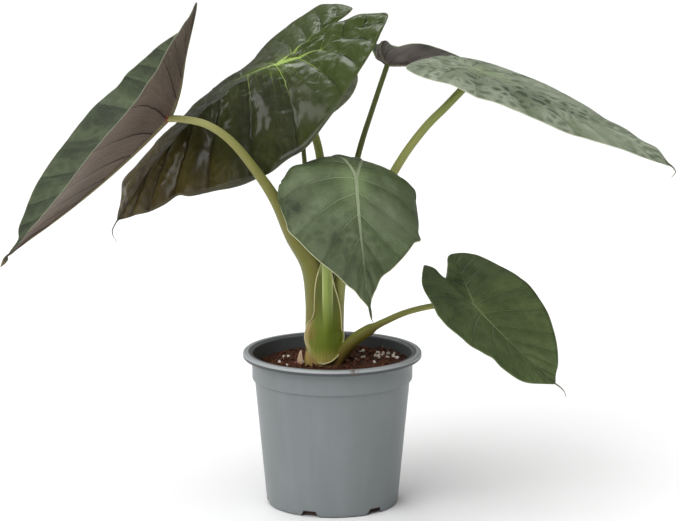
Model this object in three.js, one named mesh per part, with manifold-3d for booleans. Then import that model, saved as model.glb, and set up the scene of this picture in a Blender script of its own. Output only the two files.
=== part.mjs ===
// Potted elephant-ear plant: seven shield-shaped leaves on long stalks in a plastic nursery pot.
// Millimetres, Z up. The origin is the middle of the pot's underside, and -Y is the front.
import * as THREE from 'three';
import Module from 'manifold-3d';

const wasm = await Module();
wasm.setup();
const { Manifold, Mesh: SolidMesh } = wasm;

const FIT_GAP = 0.35; // clearance left between neighbouring pieces
const TRIM_GAP = 0.75; // allowance on a trimming shape, whose curved faces lie closer than their corners
const LEFT = -1;
const RIGHT = 1;

// Pot
const POT_HEIGHT = 148;
const RIM_RADIUS = 85.2;
const RIM_DROP = 5.5;
const RIM_CHAMFER = 0.8;
const COLLAR_RADIUS = 76.8;
const COLLAR_BOTTOM = 121;
const SHOULDER_RADIUS = 74;
const FOOT_RADIUS = 63;
const FOOT_ROUND = 3;
const WALL = 1.3;
const FLOOR = 2;
const POT_SEGMENTS = 60;
const NOTCH_ANGLES = [-80, -20, 40, 100, 160, 220]; // from the front towards the right
const NOTCH_BOTTOM = 20;
const NOTCH_TOP = 12;
const NOTCH_HEIGHT = 6;

// Soil and the stem base that stands in a plain hole in it
const SOIL_LEVEL = 136;
const SOIL_TILT = 0.03; // the soil lies higher on the right
const SOIL_LUMP = 1.3;
const SOIL_CLEARANCE = 0.6; // from the pot's wall
const SOIL_RINGS = 9;
const SOIL_SEGMENTS = 40;
const CROWN = [-7.7, 4];
const HOLE_RADIUS = 22.4;
const HOLE_FLOOR = 100;
const CORM_TOP = 133.9;

// Rows and columns of the blade's mesh. Every third row runs along a side vein.
const LOBE_ROWS = 8;
const SINUS_ROW = 5;
const ROWS = 24;
const ROWS_PER_VEIN = 3;
const COLUMNS = [0, 0.07, 0.36, 0.7, 1];
const FIRST_COLUMN_AT_TIP = 0.25; // the column beside the midrib moves out where the blade is narrow
const NARROW_ROW = 16;
const BLADE_THICKNESS = 0.9;
const RIB_DEPTH = 1.8;
const RIB_END = 20; // the row at which the midrib is level with the blade
const VEIN_SWEEP = 0.12; // how far a side vein bows, as a share of its length
const MIDRIB_SPACING = 1.2; // power that spreads the veins out towards the tip
const WAVE_ON_LOBE = -0.5; // the first wave's place, as a share of the lobe
const WAVE_PLACES = [0.1, 0.45, 0.75]; // the other waves' places, as shares of the blade's length
const WAVE_REACHES = [0.16, 0.16, 0.16, 0.13];
const DRIP_ROOT = 7; // how far inside the tip the thread starts
const TUG_FREE_FROM = 4; // distances from the hub at which a tug begins and is felt in full
const TUG_FULL_FROM = 18;

// One entry for each leaf. Angles are in degrees. The heading is the way the tip points, seen from
// above, and a positive fold lifts that half of the blade. A side's waves lift its margin at four
// places from the lobe to the tip. A tug names a place on the flat blade, how far round it the tug is
// felt, and how far it pulls the blade sideways and upwards.
const LEAVES = [
  {
    name: 'left', hub: [-152.3, -47, 378.5], heading: 206.3, slope: -42.7, roll: -38.5,
    length: 192, lobeSpan: 104, halfWidth: 78, widestAt: -2, sinus: 16,
    lobeRound: 0.15, lobeFull: 0.5, taper: 0.56, shoulderAt: 0.13,
    bendTip: 14, bendLobes: -46, twistTip: 14, twistLobes: 4, quilt: 1.1,
    left: {
      width: 75, lobe: 105, gap: 29, flare: 0.35, shoulder: 13,
      fold: 24, foldTip: -6, foldLobe: -5, cup: -23, waves: [9, -3, 2, -3],
    },
    right: {
      width: 83, lobe: 98, gap: 27, flare: 0.35, shoulder: 19,
      fold: 47, foldTip: 11, foldLobe: 0, cup: 17, waves: [7, 2, -2, 2],
    },
    drip: [[-1.5, -0.5, -3], [-3, -1, -6], [-5, -1.5, -7.5]],
    tugs: [
      [[-29, -105], 14, [2.8, 6]], [[-14, -60], 36, [-6.4, 0]], [[50, -80], 26, [-2, 4.8]],
      [[-52, -76], 16, [-0.5, 2.6]], [[10, 181], 8, [3.4, 0]], [[0, 190], 7, [-1.2, -2.5]],
    ],
  },
  {
    name: 'centre', hub: [-52.2, 29, 419.5], heading: 195, slope: -25, roll: 8,
    length: 216, lobeSpan: 99, halfWidth: 100, widestAt: 3, sinus: 55,
    lobeRound: 0.57, lobeFull: 0.47, taper: 0.54, shoulderAt: 0.16,
    bendTip: -37, bendLobes: -13, twistTip: 6, twistLobes: -3, quilt: 2.2,
    left: {
      width: 106, lobe: 104, gap: 41, flare: -0.3, shoulder: 16,
      fold: -23, foldTip: -30, foldLobe: 18, cup: 9, waves: [4, -4, -5, 2],
    },
    right: {
      width: 106, lobe: 89, gap: 23, flare: 0.28, shoulder: 92,
      fold: -11, foldTip: -4, foldLobe: 18, cup: -7, waves: [6, -1, -7, 1],
    },
    drip: [[-4, -2, -8], [-3, -3, -14], [0.5, -4, -19]],
    tugs: [
      [[-45, -104], 18, [5, 0]], [[23, -89], 14, [4.5, -0.5]], [[70, -72], 14, [0, 3]],
      [[104, -12], 22, [-3.2, 3]], [[105, 55], 20, [1.3, -1.5]], [[55, 186], 18, [-5.2, 1]],
      [[-80, 105], 25, [0, -1.7]], [[-41, 164], 9, [0, 4.4]], [[-20, 188], 17, [0, -4.6]],
      [[-104, 28], 20, [0, -4.6]], [[-96, 66], 20, [0, -4.2]], [[-14, -86], 14, [-1.2, 3.4]],
      [[0, -64], 10, [-2, 4]], [[88, 140], 22, [1.4, -1.6]], [[-7, 206], 9, [0, -2.2]],
    ],
  },
  {
    name: 'back_right', hub: [54, 112, 409], heading: 15, slope: -8, roll: 12,
    length: 141, lobeSpan: 27, halfWidth: 37, widestAt: 2, sinus: 13,
    lobeRound: 0.56, lobeFull: 0.5, taper: 0.41, shoulderAt: 0.24,
    bendTip: -10, bendLobes: -62, twistTip: 4, twistLobes: 4, quilt: 0.7,
    left: {
      width: 37, lobe: 27, gap: 21, flare: 0.35, shoulder: 7.5,
      fold: 40, foldTip: -15, foldLobe: 1, cup: -5, waves: [0, 0, 0, 0],
    },
    right: {
      width: 37, lobe: 27, gap: 21, flare: 0.35, shoulder: 7.5,
      fold: 27, foldTip: -8, foldLobe: 8, cup: -4, waves: [-7, 2.5, 0, 0],
    },
    drip: [],
    tugs: [
      [[36, 45], 45, [0.5, 3.4]],
    ],
  },
  {
    name: 'long_right', hub: [139.5, 25.5, 413], heading: 338, slope: -16.6, roll: 12,
    length: 206, lobeSpan: 62, halfWidth: 78, widestAt: 2, sinus: 50,
    lobeRound: 0.56, lobeFull: 0.5, taper: 0.47, shoulderAt: 0.15,
    bendTip: -12, bendLobes: 11, twistTip: -3, twistLobes: -1, quilt: 1.6,
    left: {
      width: 78, lobe: 55, gap: 47, flare: 0.35, shoulder: 18,
      fold: 5, foldTip: 4, foldLobe: -2, cup: 0, waves: [2, 0, -3, -3],
    },
    right: {
      width: 79, lobe: 59, gap: 44, flare: 0.35, shoulder: 22,
      fold: -10, foldTip: -6, foldLobe: -4, cup: -3, waves: [-3, -2.5, -2, -3],
    },
    drip: [[2.5, 0, -3], [3.5, 0, -6], [0, 0, -10.5]],
    tugs: [
      [[-78, 15], 60, [0, 1.4]], [[-50, 118], 20, [-0.5, -2.6]], [[-14, 184], 15, [1.5, 3.2]],
      [[54, 115], 20, [0, -2]], [[30, 160], 14, [0, 1.4]], [[77, 28], 10, [0, -1.8]],
    ],
  },
  {
    name: 'front', hub: [22, -57, 325], heading: 275, slope: -50, roll: 10,
    length: 158, lobeSpan: 88, halfWidth: 71, widestAt: -5, sinus: 32,
    lobeRound: 0.72, lobeFull: 0.62, taper: 0.49, shoulderAt: 0.34,
    bendTip: 14, bendLobes: 122, twistTip: -24, twistLobes: -1, quilt: 1.2,
    left: {
      width: 74, lobe: 92, gap: 32, flare: 0.35, shoulder: -1.5,
      fold: -15, foldTip: 3, foldLobe: 4, cup: -19, waves: [6, -5, 0.5, 0],
    },
    right: {
      width: 76, lobe: 90, gap: 30, flare: 0.35, shoulder: -1,
      fold: 2, foldTip: -14, foldLobe: -8, cup: -34, waves: [-6, -1, 1, 0],
    },
    drip: [[0.5, -1.5, -3], [1.5, -2.5, -5.5]],
    tugs: [
      [[75, -12], 16, [6.4, -2.4]], [[72, -48], 20, [5, 0]], [[60, -20], 15, [-1.5, 5.5]],
      [[-72, -41], 20, [-6.2, -1]], [[-62, -20], 14, [0, 4.8]], [[-60, 50], 6, [4, -2.6]],
      [[-17, 111], 12, [-1.8, 1.8]], [[64, 46], 8, [-3, 0]], [[17, 112], 10, [0, -2.2]],
      [[5, 130], 10, [-1.6, -1.4]],
    ],
  },
  {
    name: 'low_right', hub: [133, -26, 198], heading: 324, slope: -38, roll: -5,
    length: 112, lobeSpan: 56, halfWidth: 63, widestAt: -2.5, sinus: 39,
    lobeRound: 0.48, lobeFull: 0.5, taper: 0.49, shoulderAt: 0.09,
    bendTip: 8, bendLobes: 10, twistTip: -5, twistLobes: 5, quilt: 0.9,
    left: {
      width: 66, lobe: 58, gap: 31, flare: 0.35, shoulder: 19,
      fold: 8.5, foldTip: 11, foldLobe: 4, cup: 8, waves: [-3, 2, 1.5, 1.5],
    },
    right: {
      width: 63, lobe: 52, gap: 23.5, flare: 0.35, shoulder: 26,
      fold: 5, foldTip: -3, foldLobe: 18, cup: 9, waves: [-7, -2, 4, -3],
    },
    drip: [[4, -2, -2.5], [8, -4, -6.5], [9.5, -5, -11], [8, -5, -15]],
    tugs: [
      [[-8, 106], 9, [-1.8, 0]], [[-27, -56], 8, [-1.8, 1]], [[54, -32], 14, [-2.4, -0.4]],
      [[55, 42], 10, [-1, -2]], [[45, 64], 7, [0.5, 2.4]], [[26, 92], 15, [-0.4, -3.6]],
      [[13, -48], 9, [1.4, 2.2]],
    ],
  },
  {
    name: 'hidden', hub: [-16, 72, 404], heading: 262, slope: -46, roll: 4,
    length: 58, lobeSpan: 30, halfWidth: 38, widestAt: 0, sinus: 14,
    lobeRound: 0.6, lobeFull: 0.5, taper: 0.5, shoulderAt: 0.14,
    bendTip: -14, bendLobes: 20, twistTip: 0, twistLobes: 0, quilt: 0.7,
    left: {
      width: 39, lobe: 30, gap: 18, flare: 0.35, shoulder: 12,
      fold: -6, foldTip: 0, foldLobe: 0, cup: -10, waves: [0, 1.5, 0, -1],
    },
    right: {
      width: 37, lobe: 30, gap: 17, flare: 0.35, shoulder: 12,
      fold: -6, foldTip: 0, foldLobe: 0, cup: -10, waves: [1, 0, -2, 0],
    },
    drip: [],
    tugs: [
      [[-39, 0], 30, [2.2, -0.5]],
    ],
  },
];

// One entry for each stalk: stations from the soil to the blade. Each has its place, its half width,
// half depth and how far its sides wrap back round the inner stalks. Earlier stalks stay whole, and
// later ones are trimmed round them, as the sheaths nest in each other.
const STALKS = [
  {
    name: 'front', leaf: 'front', facing: 270,
    stations: [
      { at: [-8.5, -9, 131], half: 14, deep: 5, wrap: 9 },
      { at: [-8.5, -10, 146], half: 16.4, deep: 4.8, wrap: 10 },
      { at: [-7.4, -10.4, 162], half: 19, deep: 4.4, wrap: 9.5 },
      { at: [-5.8, -10.4, 177], half: 15.6, deep: 4.3, wrap: 4.5 },
      { at: [-4.7, -10.8, 190], half: 13, deep: 4.3, wrap: 2.4 },
      { at: [-6.6, -12.4, 208], half: 10.4, deep: 4.3, wrap: 1 },
      { at: [-6, -15, 232], half: 6.4, deep: 4.2, wrap: 0.2 },
      { at: [2, -21, 262], half: 4.1, deep: 4, wrap: 0 },
      { at: [12, -37, 297], half: 3.5, deep: 3.5, wrap: 0 },
    ],
  },
  {
    name: 'low_right', leaf: 'low_right', facing: 300,
    stations: [
      { at: [3, -2, 131], half: 6, deep: 5, wrap: 1 },
      { at: [7.4, -4.4, 142], half: 6.6, deep: 5.4, wrap: 1 },
      { at: [16.4, -8, 155], half: 6.6, deep: 5.6, wrap: 0.5 },
      { at: [24.4, -10, 163.1], half: 6.4, deep: 5.6, wrap: 0.3 },
      { at: [32, -12, 168.8], half: 5.8, deep: 5.2, wrap: 0.1 },
      { at: [39.6, -13.6, 173.7], half: 4, deep: 3.9, wrap: 0 },
      { at: [50, -16, 180], half: 3.2, deep: 3.2, wrap: 0 },
      { at: [69, -20, 189.4], half: 2.9, deep: 2.9, wrap: 0 },
      { at: [92, -24, 196.2], half: 2.8, deep: 2.8, wrap: 0 },
      { at: [115, -26.5, 199.2], half: 2.7, deep: 2.7, wrap: 0 },
    ],
  },
  {
    name: 'left', leaf: 'left', facing: 200,
    stations: [
      { at: [-20, 3, 131], half: 7, deep: 5, wrap: 1 },
      { at: [-20.6, 1, 165], half: 7, deep: 5, wrap: 1 },
      { at: [-20, 0.5, 198.5], half: 8.6, deep: 6, wrap: 0.5 },
      { at: [-20.6, -6, 233], half: 12, deep: 9.8, wrap: 0.5 },
      { at: [-37, -19.5, 263], half: 9.2, deep: 7.6, wrap: 0 },
      { at: [-52, -38.5, 299.6], half: 5.9, deep: 5.8, wrap: 0 },
      { at: [-70.2, -54.5, 330.8], half: 4.5, deep: 4.5, wrap: 0 },
      { at: [-92, -63, 359.4], half: 3.9, deep: 3.9, wrap: 0 },
      { at: [-113.7, -66, 375.4], half: 3.5, deep: 3.5, wrap: 0 },
      { at: [-136, -57, 379.4], half: 3.3, deep: 3.3, wrap: 0 },
    ],
  },
  {
    name: 'long_right', leaf: 'long_right', facing: 20,
    stations: [
      { at: [4, 3, 131], half: 7, deep: 6, wrap: 0 },
      { at: [4.6, 2, 160], half: 7.2, deep: 6, wrap: 0 },
      { at: [5.6, 1, 200], half: 7.4, deep: 6, wrap: 0 },
      { at: [9.4, 3, 224], half: 7.6, deep: 6, wrap: 0 },
      { at: [22, 9, 250], half: 5.4, deep: 5, wrap: 0 },
      { at: [60.6, 22, 320.5], half: 4.2, deep: 4.2, wrap: 0 },
      { at: [86, 24, 356.8], half: 4, deep: 4, wrap: 0 },
      { at: [109.4, 25, 381], half: 3.9, deep: 3.9, wrap: 0 },
    ],
  },
  {
    name: 'centre', leaf: 'centre', facing: 90,
    stations: [
      { at: [-9.5, 9.5, 131], half: 6.2, deep: 6, wrap: 0 },
      { at: [-9.7, 9.5, 166], half: 6, deep: 5.6, wrap: 0 },
      { at: [-9.8, 12, 233], half: 5, deep: 4.8, wrap: 0 },
      { at: [-10, 18, 290], half: 4.2, deep: 4.2, wrap: 0 },
      { at: [-12, 24, 333], half: 4, deep: 3.9, wrap: 0 },
      { at: [-24, 28, 372], half: 3.7, deep: 3.7, wrap: 0 },
      { at: [-39, 29.5, 400], half: 3.5, deep: 3.5, wrap: 0 },
    ],
  },
  {
    name: 'back_right', leaf: 'back_right', facing: 60,
    stations: [
      { at: [0, 15, 131], half: 4.6, deep: 4.2, wrap: 0 },
      { at: [1, 16, 166], half: 4.4, deep: 4, wrap: 0 },
      { at: [2, 20, 215], half: 3.6, deep: 3.6, wrap: 0 },
      { at: [9, 28, 262], half: 3.1, deep: 3.1, wrap: 0 },
      { at: [24.7, 60, 326.5], half: 2.9, deep: 2.9, wrap: 0 },
      { at: [38.5, 86, 367], half: 2.6, deep: 2.6, wrap: 0 },
    ],
  },
  {
    name: 'hidden', leaf: 'hidden', facing: 120,
    stations: [
      { at: [-17, 15, 131], half: 3.6, deep: 3.4, wrap: 0 },
      { at: [-17, 17, 166], half: 3.4, deep: 3.2, wrap: 0 },
      { at: [-20.5, 25, 230], half: 2.7, deep: 2.7, wrap: 0 },
      { at: [-25.5, 35, 310], half: 2.3, deep: 2.3, wrap: 0 },
      { at: [-28.5, 50, 353], half: 2.2, deep: 2.2, wrap: 0 },
      { at: [-25.5, 68, 385], half: 2.1, deep: 2.1, wrap: 0 },
      { at: [-19.5, 75, 398], half: 2.1, deep: 2.1, wrap: 0 },
    ],
  },
];
const STALK_SIDES = 12;
const RINGS_PER_STATION = 2;

// A dried scale leaf stands on the soil beside the stems.
const SCALE_STATIONS = [
  { at: [-30.6, -7, 136.4], half: 2.4, deep: 0.7, wrap: 0 },
  { at: [-30.8, -7.2, 141], half: 2.8, deep: 0.7, wrap: 0.4 },
  { at: [-30.4, -7.4, 146], half: 1.8, deep: 0.6, wrap: 0.3 },
  { at: [-29.6, -7.4, 150], half: 0.6, deep: 0.5, wrap: 0 },
];

const radians = (degrees) => (degrees * Math.PI) / 180;
const mix = (a, b, t) => a + (b - a) * t;

// A Bezier curve in the plane through any number of control points.
function bezier(points, t) {
  let level = points;
  while (level.length > 1) {
    level = level.slice(1).map((p, i) => [mix(level[i][0], p[0], t), mix(level[i][1], p[1], t)]);
  }
  return level[0];
}

// The blade is drawn flat first: u runs out from the midrib and v towards the tip.
function marginPoint(leaf, side, row) {
  const lobeEnd = [side.gap, -side.lobe];
  const widest = [side.width, leaf.widestAt];
  if (row <= LOBE_ROWS) {
    const lobeTurn = [mix(side.gap, side.width, leaf.lobeRound), -side.lobe];
    const rise = [side.width, leaf.widestAt - leaf.lobeFull * (leaf.widestAt + side.lobe)];
    return bezier([lobeEnd, lobeTurn, rise, widest], row / LOBE_ROWS);
  }
  const reach = leaf.length - leaf.widestAt;
  const flank = [side.width, leaf.widestAt + leaf.taper * reach];
  const shoulder = [side.shoulder, leaf.length - leaf.shoulderAt * reach];
  const t = (row - LOBE_ROWS) / (ROWS - LOBE_ROWS);
  return bezier([widest, flank, shoulder, [0, leaf.length]], t);
}

// The inner edge of a lobe, round to the notch between the lobes, then up the middle to the hub.
function innerPoint(leaf, side, row) {
  if (row >= SINUS_ROW) {
    return [0, (-leaf.sinus * (LOBE_ROWS - row)) / (LOBE_ROWS - SINUS_ROW)];
  }
  const depth = side.lobe - leaf.sinus;
  const lobeEnd = [side.gap, -side.lobe];
  const lobeTurn = [side.gap * (1 - 0.6 * leaf.lobeRound), -side.lobe];
  const flare = [side.gap * side.flare, -leaf.sinus - 0.35 * depth];
  return bezier([lobeEnd, lobeTurn, flare, [0, -leaf.sinus]], row / SINUS_ROW);
}

// The main vein: from the end of the lobe to the hub, then along the midrib to the tip.
function spinePoint(leaf, side, row) {
  if (row <= LOBE_ROWS) {
    const t = 1 - row / LOBE_ROWS;
    return [side.gap * t, -side.lobe * t];
  }
  const t = (row - LOBE_ROWS) / (ROWS - LOBE_ROWS);
  return [0, leaf.length * t ** MIDRIB_SPACING];
}

// A side vein leaves the main vein and sweeps forward to the margin.
function bladePoint(leaf, side, row, across, inner) {
  const start = spinePoint(leaf, side, row);
  const end = inner ? innerPoint(leaf, side, row) : marginPoint(leaf, side, row);
  const sweep = inner ? 0 : VEIN_SWEEP * Math.abs(end[0] - start[0]);
  const middle = [(start[0] + end[0]) / 2, (start[1] + end[1]) / 2 - sweep];
  return bezier([start, middle, end], across);
}

function waveLift(leaf, side, u, v) {
  const centres = [WAVE_ON_LOBE * leaf.lobeSpan, ...WAVE_PLACES.map((share) => share * leaf.length)];
  const reaches = WAVE_REACHES.map((share) => share * leaf.length);
  const lift = side.waves.reduce((sum, height, i) => {
    return sum + height * Math.exp(-(((v - centres[i]) / reaches[i]) ** 2));
  }, 0);
  return lift * (u / leaf.halfWidth) ** 2;
}

// The flat blade is bent along its midrib, folded and cupped across it, and twisted.
function bendPoint(leaf, side, sign, [u, v], puff) {
  const towardsTip = v >= 0;
  const share = towardsTip ? v / leaf.length : -v / leaf.lobeSpan;
  const bend = radians(towardsTip ? leaf.bendTip / leaf.length : -leaf.bendLobes / leaf.lobeSpan);
  const curve = Math.abs(bend) < 1e-6 ? 1e-6 : bend;
  const angle = curve * v;
  const fold = radians(side.fold + share * (towardsTip ? side.foldTip : side.foldLobe));
  const cup = (radians(side.cup) * u) / (2 * leaf.halfWidth);
  const out = Math.abs(cup) < 1e-6 ? u : (u * Math.sin(cup)) / cup;
  const flatX = sign * out * Math.cos(fold + cup);
  const lift = out * Math.sin(fold + cup) + waveLift(leaf, side, u, v) + puff;
  const twist = radians(share * (towardsTip ? leaf.twistTip : leaf.twistLobes));
  const x = flatX * Math.cos(twist) - lift * Math.sin(twist);
  const z = flatX * Math.sin(twist) + lift * Math.cos(twist);
  const alongY = Math.sin(angle) / curve;
  const alongZ = (1 - Math.cos(angle)) / curve;
  return new THREE.Vector3(x, alongY - z * Math.sin(angle), alongZ + z * Math.cos(angle));
}

function leafAxes(leaf) {
  const heading = radians(leaf.heading);
  const slope = radians(leaf.slope);
  const roll = radians(leaf.roll);
  const tip = new THREE.Vector3(
    Math.cos(slope) * Math.cos(heading), Math.cos(slope) * Math.sin(heading), Math.sin(slope));
  const up = new THREE.Vector3(
    -Math.sin(slope) * Math.cos(heading), -Math.sin(slope) * Math.sin(heading), Math.cos(slope));
  const right = new THREE.Vector3().crossVectors(tip, up);
  const rolledRight = right.clone().multiplyScalar(Math.cos(roll)).addScaledVector(up, Math.sin(roll));
  const rolledUp = up.clone().multiplyScalar(Math.cos(roll)).addScaledVector(right, -Math.sin(roll));
  return new THREE.Matrix4().makeBasis(rolledRight, tip, rolledUp).setPosition(...leaf.hub);
}

// A bent point in its place on the plant, after the leaf's own small tugs. None is felt at the hub.
function tuggedPoint(leaf, place, side, sign, flat, puff) {
  const point = bendPoint(leaf, side, sign, flat, puff).applyMatrix4(place);
  const [u, v] = [sign * flat[0], flat[1]];
  const free = THREE.MathUtils.smoothstep(Math.hypot(u, v), TUG_FREE_FROM, TUG_FULL_FROM);
  leaf.tugs.forEach(([centre, reach, [sideways, upwards]]) => {
    const share = free * Math.exp(-((Math.hypot(u - centre[0], v - centre[1]) / reach) ** 2));
    point.x += sideways * share;
    point.z += upwards * share;
  });
  return point;
}

// Between two side veins the blade puffs up a little, which gives its quilted look.
function quiltLift(leaf, row, across) {
  const phase = Math.abs(row - LOBE_ROWS) / ROWS_PER_VEIN;
  const end = Math.min(1, (ROWS - row) / 3) * Math.min(1, row / 2);
  return leaf.quilt * Math.abs(Math.sin(Math.PI * phase)) * Math.sin(Math.PI * across) * end;
}

function ribDepth(row, column) {
  if (column > 0) return 0;
  if (row <= LOBE_ROWS) return RIB_DEPTH * 0.8 * (row / LOBE_ROWS) ** 0.7;
  return RIB_DEPTH * Math.max(0, (RIB_END - row) / (RIB_END - LOBE_ROWS)) ** 0.7;
}

// Collects points, welding those that fall together.
class Welder {
  constructor() {
    this.points = [];
    this.ribs = [];
    this.triangles = [];
    this.lookup = new Map();
  }

  add(point, rib) {
    const key = point.toArray().map((value) => Math.round(value * 500)).join(',');
    if (!this.lookup.has(key)) {
      this.lookup.set(key, this.points.length);
      this.points.push(point);
      this.ribs.push(rib);
    }
    const index = this.lookup.get(key);
    this.ribs[index] = Math.max(this.ribs[index], rib);
    return index;
  }

  quad(a, b, c, d, flip) {
    this.triangle(a, b, c, flip);
    this.triangle(a, c, d, flip);
  }

  triangle(a, b, c, flip) {
    if (a === b || b === c || a === c) return;
    this.triangles.push(flip ? [a, c, b] : [a, b, c]);
  }
}

function columnPlace(row, column) {
  if (column !== 1) return COLUMNS[column];
  const narrow = Math.max(0, (row - NARROW_ROW) / (ROWS - NARROW_ROW));
  return mix(COLUMNS[column], FIRST_COLUMN_AT_TIP, narrow);
}

function addPatch(welder, leaf, side, sign, place, inner) {
  const rows = inner ? LOBE_ROWS : ROWS;
  const grid = [];
  for (let row = 0; row <= rows; row += 1) {
    grid.push(COLUMNS.map((_, column) => {
      const across = columnPlace(row, column);
      const flat = bladePoint(leaf, side, row, across, inner);
      const puff = inner ? 0 : quiltLift(leaf, row, across);
      const point = tuggedPoint(leaf, place, side, sign, flat, puff);
      return welder.add(point, ribDepth(row, column));
    }));
  }
  const flip = inner ? sign === RIGHT : sign === LEFT;
  for (let row = 0; row < rows; row += 1) {
    for (let column = 0; column < COLUMNS.length - 1; column += 1) {
      const near = grid[row];
      const next = grid[row + 1];
      welder.quad(near[column], near[column + 1], next[column + 1], next[column], flip);
    }
  }
}

function averageNormals(points, triangles) {
  const normals = points.map(() => new THREE.Vector3());
  triangles.forEach(([a, b, c]) => {
    const ab = points[b].clone().sub(points[a]);
    const ac = points[c].clone().sub(points[a]);
    const face = ab.cross(ac);
    [a, b, c].forEach((index) => normals[index].add(face));
  });
  return normals.map((normal) => normal.normalize());
}

// Gives a sheet its thickness: the same triangles on both faces and a rim round the open edge.
function thicken(welder, thickness) {
  const { points, ribs, triangles } = welder;
  const normals = averageNormals(points, triangles);
  const half = thickness / 2;
  const top = points.map((p, i) => p.clone().addScaledVector(normals[i], half));
  const under = points.map((p, i) => p.clone().addScaledVector(normals[i], -half - ribs[i]));
  const count = points.length;
  const faces = [];
  const open = new Map();
  triangles.forEach(([a, b, c]) => {
    faces.push([a, b, c], [a + count, c + count, b + count]);
    [[a, b], [b, c], [c, a]].forEach(([from, to]) => {
      if (open.has(`${to},${from}`)) open.delete(`${to},${from}`);
      else open.set(`${from},${to}`, [from, to]);
    });
  });
  open.forEach(([from, to]) => {
    faces.push([to, from, from + count], [to, from + count, to + count]);
  });
  return solidFrom([...top, ...under], faces);
}

function solidFrom(points, faces) {
  const mesh = new SolidMesh({
    numProp: 3,
    vertProperties: new Float32Array(points.flatMap((p) => p.toArray())),
    triVerts: new Uint32Array(faces.flat()),
  });
  mesh.merge();
  return new Manifold(mesh);
}

function bladeSolid(leaf, thickness) {
  const welder = new Welder();
  const place = leafAxes(leaf);
  [[leaf.left, LEFT], [leaf.right, RIGHT]].forEach(([side, sign]) => {
    addPatch(welder, leaf, side, sign, place, false);
    addPatch(welder, leaf, side, sign, place, true);
  });
  return thicken(welder, thickness);
}

// The thin thread at the end of a blade hangs from a point just inside the tip.
function dripSolid(leaf) {
  const place = leafAxes(leaf);
  const tip = tuggedPoint(leaf, place, leaf.left, LEFT, [0, leaf.length], 0);
  const root = tuggedPoint(leaf, place, leaf.left, LEFT, [0, leaf.length - DRIP_ROOT], 0);
  const places = [root, tip, ...leaf.drip.map((step) => tip.clone().add(new THREE.Vector3(...step)))];
  const stations = places.map((at, i) => {
    const size = mix(1.1, 0.5, i / (places.length - 1));
    return { at: at.toArray(), half: size, deep: size, wrap: 0 };
  });
  return loftSolid({ facing: 0, stations }, 0, 6);
}

function leafSolid(leaf) {
  const blade = bladeSolid(leaf, BLADE_THICKNESS);
  return leaf.drip.length ? blade.add(dripSolid(leaf)) : blade;
}

// A smooth run through the stations (Catmull-Rom), for their places and their sizes alike.
function runThrough(stations, ringsPerStation) {
  const last = stations.length - 1;
  const value = (i) => {
    const s = stations[Math.min(last, Math.max(0, i))];
    return [...s.at, s.half, s.deep, s.wrap];
  };
  const rings = [];
  for (let k = 0; k <= last * ringsPerStation; k += 1) {
    const i = Math.min(last - 1, Math.floor(k / ringsPerStation));
    const t = k / ringsPerStation - i;
    const [p0, p1, p2, p3] = [value(i - 1), value(i), value(i + 1), value(i + 2)];
    rings.push(p1.map((_, j) => 0.5 * (2 * p1[j] + (p2[j] - p0[j]) * t
      + (2 * p0[j] - 5 * p1[j] + 4 * p2[j] - p3[j]) * t * t
      + (3 * p1[j] - p0[j] - 3 * p2[j] + p3[j]) * t * t * t)));
  }
  return rings.map((r) => ({ at: new THREE.Vector3(r[0], r[1], r[2]), half: r[3], deep: r[4], wrap: r[5] }));
}

function sectionOutline(ring, sides) {
  return Array.from({ length: sides }, (_, i) => {
    const angle = (2 * Math.PI * i) / sides;
    const back = ring.wrap * Math.cos(angle) ** 2;
    return [ring.half * Math.cos(angle), ring.deep * Math.sin(angle) - back];
  });
}

// Moves every corner of a flat outline outwards, so that its sides all move by the same distance.
function grownOutline(outline, distance) {
  if (distance === 0) return outline;
  const count = outline.length;
  const normal = (from, to) => {
    const [x, y] = [to[0] - from[0], to[1] - from[1]];
    const size = Math.hypot(x, y);
    return [y / size, -x / size];
  };
  return outline.map((point, i) => {
    const before = normal(outline[(i + count - 1) % count], point);
    const after = normal(point, outline[(i + 1) % count]);
    const share = 1 + before[0] * after[0] + before[1] * after[1];
    const scale = distance / Math.max(0.25, share);
    return [point[0] + scale * (before[0] + after[0]), point[1] + scale * (before[1] + after[1])];
  });
}

// Sections are ellipses that may wrap back at the sides. The frame is carried along without twisting.
function loftSolid({ facing, stations }, swell, sides = STALK_SIDES) {
  const rings = runThrough(stations, RINGS_PER_STATION);
  const front = new THREE.Vector3(Math.cos(radians(facing)), Math.sin(radians(facing)), 0);
  const points = [];
  rings.forEach((ring, k) => {
    const before = rings[Math.max(0, k - 1)].at;
    const after = rings[Math.min(rings.length - 1, k + 1)].at;
    const along = after.clone().sub(before).normalize();
    front.addScaledVector(along, -front.dot(along)).normalize();
    const across = new THREE.Vector3().crossVectors(along, front);
    const end = k === 0 ? -swell : k === rings.length - 1 ? swell : 0;
    grownOutline(sectionOutline(ring, sides), swell).forEach(([wide, deep]) => {
      points.push(ring.at.clone().addScaledVector(across, wide)
        .addScaledVector(front, deep).addScaledVector(along, end));
    });
  });
  const faces = [];
  for (let k = 0; k < rings.length - 1; k += 1) {
    for (let i = 0; i < sides; i += 1) {
      const a = k * sides + i;
      const b = k * sides + ((i + 1) % sides);
      faces.push([a, b, b + sides], [a, b + sides, a + sides]);
    }
  }
  const top = (rings.length - 1) * sides;
  for (let i = 1; i < sides - 1; i += 1) {
    faces.push([0, i + 1, i], [top, top + i, top + i + 1]);
  }
  const solid = solidFrom(points, faces);
  return solid.volume() < 0 ? solidFrom(points, faces.map(([a, b, c]) => [a, c, b])) : solid;
}

function largestPart(solid) {
  return solid.decompose().sort((a, b) => b.volume() - a.volume())[0];
}

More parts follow.
